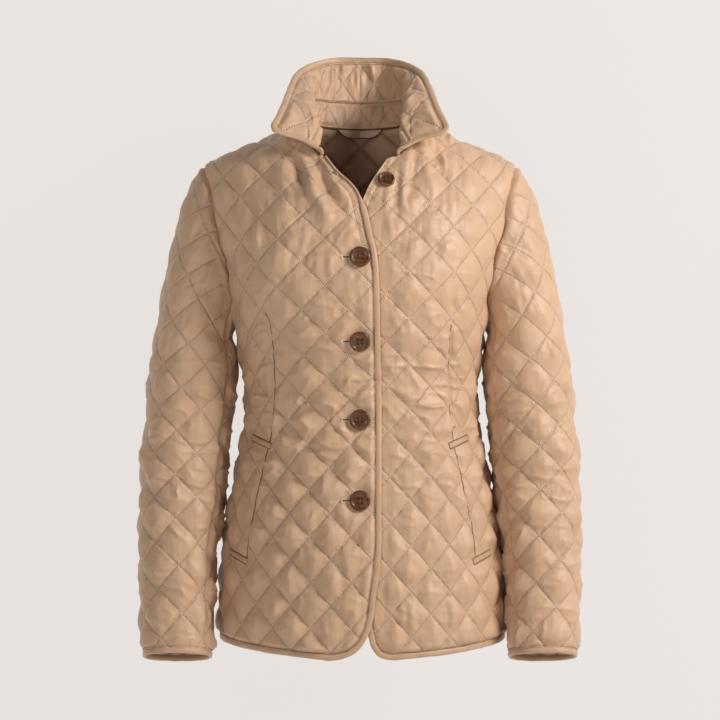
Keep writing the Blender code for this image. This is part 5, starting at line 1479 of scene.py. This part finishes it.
def makeTape(name, nodes, base, normal, hint, wall, closed=False, seed=90, size=tapes, finish="binding",
             share=1.0):
    # a tape round an edge; the hint's points lie on the cloth's side of the edge
    along = wayRound(base) if closed else np.gradient(base, axis=0)
    outward = unit(np.cross(along, normal))
    outward *= np.sign((outward * (base - hint)).sum(-1, keepdims=True))
    rings = tapeRings(base, outward, normal, wall, seed, size, share)
    count, around = rings.shape[:2]
    girth = np.arange(around) * taping["girth"] / around
    maps = np.stack(np.broadcast_arrays(runAlong(base)[:, None], girth), axis=-1)
    numbers = roundNumbers(count, around)
    faces = quadsOf(np.vstack([numbers, numbers[:1]])).tolist() if closed else tubeFaces(count, around)
    return addPiece(name, rings.reshape(-1, 3), faces, finish, nodes,
                    dict(tape=maps.reshape(-1, 2)))


def panelTape(name, nodes, panel, line, seed):
    # tape round a body panel's edge, lifted with its cloth
    line = spacedLine(line, taping["step"])
    lift = panel["lift"](line[:, 0], line[:, 1])
    inward = line + leftOf(line) * taping["hint"]
    base, normal = inSpace(panel, line[:, 0], line[:, 1], lift)
    hint, _ = inSpace(panel, inward[:, 0], inward[:, 1], lift)
    share = panel["tapeShare"](line[:, 1]) if "tapeShare" in panel else 1.0
    return makeTape(name, nodes, base, normal, hint, quilting["wall"], seed=seed, share=share)


def cuffTape(side, label):
    # closed tape round the end of a sleeve
    turn = np.radians(np.arange(0, 360, 3))
    low = sleeve["cuff"] + cut["tapeWidth"]
    base, up = sleeveSection(turn, low), sleeveSection(turn, low + taping["cuffHint"])
    normal = unit(np.cross(unit(base - up), wayRound(base)))
    normal *= np.sign((normal * (base - base.mean(axis=0))).sum(-1, keepdims=True))
    base, normal, up = (flipped(rows, side) for rows in (base, normal, up))
    return makeTape(f"{label}_cuff_tape", (f"binding_cuff_{label}",), base, normal, up, quilting["wall"],
                    closed=True, seed=95 + side)


def collarEdge(inside):
    # pattern line that runs inside of the collar's free edge
    end, top, tip = collar["halfLength"] - inside, collar["depth"] - inside, collar["tip"]
    turn = np.radians(np.linspace(0, 90, 12))
    corner = np.stack([end - tip * (1 - np.cos(turn)), top - tip * (1 - np.sin(turn))], axis=1)
    return np.vstack([[[end, 0.0]], corner, flipped(corner, -1.0)[::-1], [[-end, 0.0]]])


# the collar tape's ends run on down the neck's edge: lengths, way, and share of the full width
collarTail = dict(steps=(1.4, 2.8, 4.2), way=(-0.50, 0.10, -0.80), least=0.35, growing=0.14)


def collarTape():
    line = spacedLine(collarEdge(cut["tapeWidth"]), 2.2)
    base, normal = pointsOf(collarForm, line), normalsOf(collarForm, line)
    hint = pointsOf(collarForm, line + leftOf(line) * taping["hint"])
    tail = np.outer(collarTail["steps"], collarTail["way"])
    base = np.vstack([base[0] + flipped(tail[::-1], np.sign(base[0, 0])), base,
                      base[-1] + flipped(tail, np.sign(base[-1, 0]))])
    extra = len(tail)
    normal, hint = (np.vstack([rows[:1]] * extra + [rows] + [rows[-1:]] * extra) for rows in (normal, hint))
    fromEnd = np.minimum(np.arange(len(base)), np.arange(len(base))[::-1])
    share = np.clip(collarTail["least"] + collarTail["growing"] * fromEnd, 0, 1)
    return makeTape("collar_tape", ("binding_collar",), base, normal, hint, collar["wall"], seed=99,
                    share=share)


def neckCord():
    # the collar's seam turning, rolled into the angle between collar and body, in the dark crease colour as
    # painted shade
    base, normal = (acrossCentre(rows) for rows in neckSeam(np.linspace(0, 0.97, 90)))
    below = base - np.array([0.0, 0.0, 9.0])
    return makeTape("neck_seam", (), base, normal, below, quilting["wall"], seed=93, size=cord,
                    finish="crease")


neckCord()
tapePieces = dict(
    right=panelTape("right_front_tape", ("binding_front_right",), rightFront, rightFront["tape"], 81),
    left=panelTape("left_front_tape", ("binding_front_left",), leftFront, leftFront["tape"], 84),
    back=panelTape("back_tape", ("binding_back",), back, back["tape"], 87),
)
for side, label in ((-1.0, "right"), (1.0, "left")):
    cuffTape(side, label)
tapePieces["collar"] = collarTape()
print("tapes done")


# stitches

stitching = dict(
    length=2.0, radius=0.46, pitch=2.6, edgePitch=2.3, sides=6, inward=2.0, zigzag=0.8,
    # a stitch's four rings: place by its length, thickness and depth by its radius
    reach=(-0.5, -0.32, 0.32, 0.5), thick=(0.4, 1.0, 1.0, 0.4), sink=(-0.5, 0.0, 0.0, -0.5),
)


def stitchRow(name, centres, along, normal, length=stitching["length"], radius=stitching["radius"],
              finish="thread"):
    # one small capsule for each centre: four rings of points along the stitch
    side = unit(np.cross(along, normal))
    normal = unit(np.cross(side, along))
    turn = np.linspace(0, 2 * pi, stitching["sides"], endpoint=False)
    out = np.cos(turn)[None, :, None] * side[:, None] + np.sin(turn)[None, :, None] * normal[:, None]
    reach, thick, sink = (np.array(stitching[part])[:, None] for part in ("reach", "thick", "sink"))
    rings = centres[:, None] + along[:, None] * reach * length + normal[:, None] * sink * radius
    points = rings[:, :, None] + out[:, None] * (thick * radius)[..., None]
    faces = tubeFaces(len(reach), len(turn), len(centres))
    return addPiece(name, points.reshape(-1, 3), faces, finish)


def stitchesAlong(name, at, normal, slant=0.0, zigzag=0.0, **sizes):
    # stitches one after another on a line of points; a slant turns them across it
    along = unit(np.gradient(at, axis=0))
    side = np.cross(along, normal)
    turned = slant + zigzag * np.where(np.arange(len(at)) % 2 == 0, 1.0, -1.0)
    return stitchRow(name, at, unit(along + side * turned[:, None]), normal, **sizes)


def rowOnPanel(name, panel, line, pitch=stitching["pitch"], above=0.1, finish="shadedThread", **sizes):
    # stitches that follow a pattern line on the outer skin, by default in the thread whose dark colour is
    # painted shade
    at, normal = onCloth(panel, spacedLine(line, pitch), above)
    return stitchesAlong(name, at, normal, finish=finish, **sizes)


ribbons = dict(step=1.2, sunk=0.5, narrowest=0.05)


def ribbon(name, panel, line, width, finish, above=0.12, point=3.0):
    # narrow strip on the outer skin along a pattern line, drawn to a point at both ends
    line = spacedLine(line, ribbons["step"])
    run = runAlong(line)
    half = width / 2 * np.clip(np.minimum(run, run[-1] - run) / point, ribbons["narrowest"], 1) ** 0.5
    offset = leftOf(line)[:, None] * (half[:, None] * np.linspace(-1, 1, 3))[..., None]
    s, w = (line[:, None] + offset).transpose(2, 0, 1)
    outer, _ = skinHeights(panel, s, w)
    top, _ = inSpace(panel, s, w, outer.max(axis=1, keepdims=True) + above + 0 * outer)
    low, _ = inSpace(panel, s, w, outer.min(axis=1, keepdims=True) - ribbons["sunk"] + 0 * outer)
    return slab(name, top, low, finish)


inward, edgePitch, zigzag = (stitching[name] for name in ("inward", "edgePitch", "zigzag"))
taped = dict(right_front=rightFront, left_front=leftFront, back_hem=back)
for name, panel in taped.items():
    line = panel["tape"] + (np.array([0.0, inward]) if panel is back else leftOf(panel["tape"]) * inward)
    look = dict(slant=6.0) if panel is rightFront else dict(zigzag=zigzag)
    rowOnPanel(f"{name}_stitches", panel, line, edgePitch, **look)
rowOnPanel("right_neck_edge_stitches", rightFront, rightFront["vLine"])
rowOnPanel("left_neck_edge_stitches", leftFront, leftFront["vLine"])
for (label, part), panel in sleevePanels.items():
    line = panel["stitched"] + np.array([0.0, inward])
    rowOnPanel(f"{label}_cuff_{part}_stitches", panel, line, zigzag=zigzag)
# a narrow dark strip beside each tape's stitches: painted shade in the crease along the tape
for name, panel in taped.items():
    line = panel["tape"] + leftOf(panel["tape"]) * 0.6
    ribbon(f"{name}_edge_crease", panel, line, 0.8, "shadedThread", above=0.0)

at, normal = onCollar(spacedLine(collarEdge(cut["tapeWidth"] + inward)[2:-2], edgePitch), 0.1)
stitchesAlong("collar_edge_stitches", at, normal, zigzag=zigzag, finish="shadedThread")
# the stand's upper row is light thread; its lower row, in the darker thread, is painted shade along the
# stand's seam
standRows = dict(halfLength=165.0, pitch=2.1,
                 rows=(("stitches", 3.2, dict(slant=6.0, finish="thread", length=2.6)),
                       ("crease", 0.9, dict(finish="shadedThread"))))
for label, rise, look in standRows["rows"]:
    height, half = collar["depth"] * collar["stand"] + rise, standRows["halfLength"]
    at, normal = onCollar(spacedLine(np.array([[-half, height], [half, height]]), standRows["pitch"]), 0.1)
    stitchesAlong(f"collar_stand_{label}", at, normal, **look)

pocketSewing = dict(dart=1.1, mouth=1.3, beside=1.1, slant=1.0)
for label, panel in (("right", rightFront), ("left", leftFront)):
    dart, mouth = (row[0] for row in panel["darts"])
    # the dart seam and the pocket's mouth are dark strips of painted shade
    ribbon(f"{label}_dart_seam", panel, dart, pocketSewing["dart"], "slitShade")
    ribbon(f"{label}_pocket_mouth", panel, mouth, pocketSewing["mouth"], "slitShade")
    rowOnPanel(f"{label}_pocket_stitches", panel, mouth + leftOf(mouth) * pocketSewing["beside"],
               slant=pocketSewing["slant"])
print("stitches done")


# tabs

tabs = dict(
    half=3.3, thick=0.9, raised=0.35, clear=0.2, sunk=0.4, roundEnd=1.6, crown=6, dip=(0.30, 0.62, 0.12),
    outlineShadeWidth=0.9, outlineShadeOut=0.5, outlineShadeAbove=0.25, outlineShadePoint=0.5,
    rows=(("low", -0.62), ("high", 0.62)), pitch=1.9, length=1.4, radius=0.22,
)


def makeTab(name, nodes, panel, ends):
    # a short strip with rounded edges, lying on the front across the end of the pocket's mouth
    line = onFront(panel["side"], flipped(spacedLine(np.array(ends), 1.0), panel["side"]))
    profile, half, left = np.linspace(-1, 1, 13), tabs["half"], leftOf(line)
    s, w = (line[:, None] + left[:, None] * (profile * half)[None, :, None]).transpose(2, 0, 1)
    fromEnd = np.minimum(np.arange(len(line)), np.arange(len(line))[::-1])[:, None] / tabs["roundEnd"]
    ending = np.clip(1 - np.clip(1 - fromEnd, 0, 1) ** 2, 0, 1) ** 0.5
    crown = (1 - np.abs(profile[None]) ** tabs["crown"]) ** 0.5 * ending
    depth, place, width = tabs["dip"]  # sunk where the two rows of stitches run
    rise = tabs["thick"] + tabs["raised"] - depth * bell(np.abs(profile[None]) - place, width)
    base = panel["lift"](s, w) + quilting["wall"]
    outer, _ = inSpace(panel, s, w, base + tabs["clear"] + rise * crown)
    inner, _ = inSpace(panel, s, w, base - tabs["sunk"])
    # painted shade: a dark strip round the tab's outline, in the crease colour
    outside = left * (half + tabs["outlineShadeOut"])
    outline = np.vstack([line + outside, (line - outside)[::-1], line[:1] + outside[:1]])
    ribbon(name + "_crease", panel, outline, tabs["outlineShadeWidth"], "crease", tabs["outlineShadeAbove"],
           tabs["outlineShadePoint"])
    for label, place in tabs["rows"]:
        sRow, wRow = spacedLine(line[2:-2] + leftOf(line[2:-2]) * half * place, tabs["pitch"]).T
        height = panel["lift"](sRow, wRow) + quilting["wall"] + tabs["thick"] + tabs["raised"]
        stitchesAlong(f"{name}_stitches_{label}", *inSpace(panel, sRow, wRow, height), length=tabs["length"],
                      radius=tabs["radius"], finish="shadedThread")
    maps = np.stack([s, w], axis=-1).reshape(-1, 2)
    return slab(name, outer, inner, "binding", nodes, dict(tape=maps))


for label, panel in (("right", rightFront), ("left", leftFront)):
    [makeTab(f"{label}_pocket_tab_{place}", (f"pocket_{label}_tab_{place}",), panel, ends)
                        for place, ends in zip(("top", "low"), fronts["tabs"])]
print("tabs done")


# buttons

buttons = dict(
    radius=12.4, neckRadius=10.4, sectors=80, holeRadius=1.25, holeSpread=2.45,
    profile=((0.0, 2.45), (4.5, 2.5), (7.4, 2.65), (8.6, 3.0), (9.3, 3.85), (10.4, 4.1), (11.4, 3.75),
             (12.0, 2.9), (12.4, 1.7), (12.0, 0.7), (11.0, 0.1), (9.0, 0.0), (0.0, 0.0)),
    face=9,  # the profile's place where its fine upper face ends
    faceStep=0.42, backStep=2.0, half=2.05, holeDepth=2.0, holeEdge=(0.75, 1.1),
    shadowLength=2.9, shadowRadius=0.85, shadowDeep=0.35, shadowSpread=(1.0, 0.9),
)


def makeButton(name, node, panel, rows, radius=buttons["radius"]):
    # turned button: a raised rim round a recess; four holes are pressed into the recess
    low, high = (np.array(corner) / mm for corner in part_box(node))
    place = onFront(panel["side"], rows)
    normal = inSpace(panel, place[:, 0], place[:, 1], np.zeros(1))[1][0]
    middle = (low + high) / 2 - normal * buttons["half"]
    profile = np.array(buttons["profile"]) * np.array([radius / buttons["radius"], 1.0])
    top = spacedLine(profile[:buttons["face"] + 1], buttons["faceStep"])
    line = np.vstack([top, spacedLine(profile[buttons["face"]:], buttons["backStep"])[1:]])
    turn = np.linspace(0, 2 * pi, buttons["sectors"], endpoint=False)
    x, y = line[1:-1, 0, None] * np.cos(turn), line[1:-1, 0, None] * np.sin(turn)
    z = np.broadcast_to(line[1:-1, 1, None], x.shape).copy()
    upper = np.arange(1, len(line) - 1)[:, None] < len(top)
    spread = buttons["holeSpread"] * np.array([(-1, -1), (1, -1), (-1, 1), (1, 1)])
    edge = [buttons["holeRadius"] * share for share in buttons["holeEdge"]]
    for xHole, yHole in spread:
        z -= upper * buttons["holeDepth"] * (1 - smoothStep(*edge, np.hypot(x - xHole, y - yHole)))
    ends = [[[0, 0, line[k, 1]]] for k in (0, -1)]
    points = np.vstack([ends[0], np.stack([x, y, z], axis=-1).reshape(-1, 3), ends[1]])
    side = unit(np.cross(np.array([0.0, 0.0, 1.0]), normal))
    axes = np.stack([side, np.cross(normal, side), normal])
    numbers = roundNumbers(*x.shape, start=1)
    faces = quadsOf(numbers).tolist() + [[0, b, a] for a, b in zip(numbers[0, :-1], numbers[0, 1:])]
    faces += [[len(points) - 1, a, b] for a, b in zip(numbers[-1, :-1], numbers[-1, 1:])]
    # painted shadow: a dark dot in each of the four holes
    dots = np.column_stack([spread * np.array(buttons["shadowSpread"]),
                            np.full(4, line[0, 1] - buttons["shadowDeep"])])
    stitchRow(f"{name}_hole_shadows", middle + dots @ axes, np.tile(axes[1], (4, 1)), np.tile(normal, (4, 1)),
              buttons["shadowLength"], buttons["shadowRadius"], "slitShade")
    return addPiece(name, middle + points @ axes, faces, "button", (node,))


for number, height in enumerate(fronts["buttons"], 1):
    makeButton(f"front_button_{number}", f"button_{number}", rightFront, [(0.0, height)])
makeButton("neck_button", "button_neck", leftFront, [fronts["neckButton"]], buttons["neckRadius"])
print("buttons done")


# buttonholes

holes = dict(
    reach=(-21.0, -7.0), neck=((-34.5, -63.5), (-27.0, -68.0)), slitShade=1.9, slitAbove=0.2, slitPoint=1.5,
    lip=1.45, pitch=0.85, length=1.9, radius=0.42, barHalf=1.9, barPitch=0.8, barLength=2.6, barRadius=0.70,
)


def holeStitches(name, panel, line, above, length, radius):
    # stitches that lie across a pattern line
    at, normal = onCloth(panel, line, above)
    side = unit(np.cross(unit(np.gradient(at, axis=0)), normal))
    return stitchRow(name, at, side, normal, length, radius)


def makeButtonhole(name, panel, rows):
    # slit painted dark as shade between two rows of close stitches, with a bar of stitches at its end
    line = spacedLine(onFront(panel["side"], rows), holes["pitch"])
    across = leftOf(line)
    ribbon(name, panel, line, holes["slitShade"], "slitShade", holes["slitAbove"], holes["slitPoint"])
    for label, way in (("upper", 1.0), ("lower", -1.0)):
        holeStitches(f"{name}_{label}_stitches", panel, line + across * holes["lip"] * way, 0.15,
                     holes["length"], holes["radius"])
    ends = np.linspace(-holes["barHalf"], holes["barHalf"], 6)[:, None]
    bar = spacedLine(line[0] + across[0] * ends, holes["barPitch"])
    holeStitches(f"{name}_bar", panel, bar, 0.2, holes["barLength"], holes["barRadius"])


for number, height in enumerate(fronts["buttons"], 1):
    makeButtonhole(f"buttonhole_{number}", rightFront, [(x, height) for x in holes["reach"]])
makeButtonhole("neck_buttonhole", rightFront, holes["neck"])
print("buttonholes done")


# hanger loop

loop = dict(
    x=(-26, -22, -16, 0, 16, 22, 26), low=(-1.5, -5.5, -8.6, -9.2, -8.6, -5.5, -1.5), top=-0.3, thick=1.2,
    clear=0.35, roundUp=6.0, roundDeep=3.0,
    creaseWide=1.045, creaseHigh=1.22, creaseBack=0.7,  # its shadow on the cloth, a little larger than it
)


def makeLoop():
    # a flat band that bows down below the back neck seam, with a painted shadow: a dark copy a little larger
    # behind it
    x = np.linspace(loop["x"][0], loop["x"][-1], 55)
    seam, _ = neckSeam(np.linspace(0, 0.5, 60))
    y, z = (np.interp(np.abs(x), seam[:, 0], seam[:, axis]) for axis in (1, 2))
    low, high = through(loop["x"], loop["low"], x), loop["top"] + z
    turn, half = np.linspace(0, 2 * pi, 14, endpoint=False), loop["thick"] / 2
    middle = ((high + low) / 2)[:, None]
    up = ((high - low) / 2)[:, None] * rounded(turn, np.sin, loop["roundUp"])
    deep = (y - loop["clear"] - half)[:, None] + half * rounded(turn, np.cos, loop["roundDeep"])
    points = np.stack(np.broadcast_arrays(x[:, None], deep, middle + up), axis=-1)
    crease = np.stack(np.broadcast_arrays(x[:, None] * loop["creaseWide"], deep + loop["creaseBack"],
                                          middle + up * loop["creaseHigh"]), axis=-1)
    faces = tubeFaces(len(x), len(turn))
    addPiece("hanger_band_crease", crease.reshape(-1, 3), faces, "crease")
    return addPiece("hanger_band", points.reshape(-1, 3), faces, "binding", ("hanger_loop",),
                    dict(tape=points[..., [0, 2]].reshape(-1, 2)))


makeLoop()
print("hanger loop done")


# stage, light and camera

studio = dict(
    backdrop=(0.06, 0.058, 0.056), cloudy=0.985, roughness=0.95, glow=(0.768, 0.732, 0.703),
    wallDepth=0.20, floorHeight=-0.93, halfWidth=4.0, wallTop=3.0, floorFront=-5.0,
    world=(0.800, 0.763, 0.733), worldStrength=1.0, aim=(0.0, 0.0, -0.28),
    # degrees round from the front and up, distance, size, watts, colour
    lights=(("key", 57, 27, 2.2, 0.9, 50.0, (1.0, 0.985, 0.96)),
            ("low", 0, -15, 4.0, 1.8, 8.0, (1.0, 0.99, 0.97)),
            ("near", -25, 14, 1.6, 0.5, 5.6, (1.0, 0.99, 0.97))),
    # the camera stands this far in front at this height; a pixel of the picture's width covers pixelSize mm
    cameraAway=3.2, cameraHeight=-0.287, sensor=36.0, pixels=720, pixelSize=1.23,
)


def stagePlane(name, corners):
    # a pale plane that glows by itself and can be seen through from behind
    mesh = bpy.data.meshes.new(name)
    mesh.from_pydata(corners, [], [(0, 1, 2, 3)])
    made = newMaterial(name, studio["backdrop"], studio["roughness"], Specular_IOR_Level=0.0)
    g = Graph(made)
    g.paint(g.mix(g.noise(g.place, 6.0, 4.0), opaque(studio["backdrop"], studio["cloudy"]),
                  opaque(studio["backdrop"])))
    g.shader.inputs["Emission Color"].default_value = opaque(studio["glow"])
    g.shader.inputs["Emission Strength"].default_value = 1.0
    seeThrough, joined = g.node("BsdfTransparent"), g.node("MixShader")
    g.link(g.node("NewGeometry").outputs["Backfacing"], joined.inputs[0])  # open from behind
    g.link(g.shader.outputs[0], joined.inputs[1])
    g.link(seeThrough.outputs[0], joined.inputs[2])
    g.link(joined.outputs[0], made.node_tree.nodes["Material Output"].inputs["Surface"])
    mesh.materials.append(made)
    plane = bpy.data.objects.new(name, mesh)
    bpy.context.scene.collection.objects.link(plane)
    return plane


depth, low, wide = studio["wallDepth"], studio["floorHeight"], studio["halfWidth"]
ahead, high = studio["floorFront"], studio["wallTop"]
stagePlane("backdrop", [(-wide, depth, low), (wide, depth, low), (wide, depth, high), (-wide, depth, high)])
stagePlane("floor", [(-wide, ahead, low), (wide, ahead, low), (wide, depth, low), (-wide, depth, low)])

for label, around, up, away, size, power, color in studio["lights"]:
    lamp = bpy.data.lights.new(label, "AREA")
    lamp.shape, lamp.size, lamp.energy, lamp.color = "DISK", size, power, color
    turn, rise = math.radians(around), math.radians(up)
    way = np.array([math.sin(turn) * math.cos(rise), -math.cos(turn) * math.cos(rise), math.sin(rise)])
    holder = bpy.data.objects.new(label, lamp)
    holder.location = np.array(studio["aim"]) + way * away
    holder.rotation_mode = "QUATERNION"
    holder.rotation_quaternion = Vector((-way).tolist()).to_track_quat("-Z", "Y")
    bpy.context.scene.collection.objects.link(holder)

world = bpy.data.worlds.new("studio")
world.use_nodes = True
world.node_tree.nodes["Background"].inputs["Color"].default_value = opaque(studio["world"])
world.node_tree.nodes["Background"].inputs["Strength"].default_value = studio["worldStrength"]
world.cycles_visibility.diffuse = False  # pale all round, but it doesn't light the cloth
world.cycles_visibility.glossy = False
bpy.context.scene.world = world
bpy.context.scene.view_settings.view_transform = "Standard"

camera = bpy.data.objects.new("camera", bpy.data.cameras.new("camera"))
camera.location = (0.0, -studio["cameraAway"], studio["cameraHeight"])
camera.rotation_euler = (pi / 2, 0.0, 0.0)
camera.data.sensor_width = studio["sensor"]
camera.data.lens = studio["sensor"] * studio["cameraAway"] / (studio["pixels"] * studio["pixelSize"] * mm)
bpy.context.scene.collection.objects.link(camera)
bpy.context.scene.camera = camera
print("studio done")


# the cloth's cut sizes, and the whole's box

for (label, part), piece in sleevePieces.items():
    panel = sleevePanels[label, part]
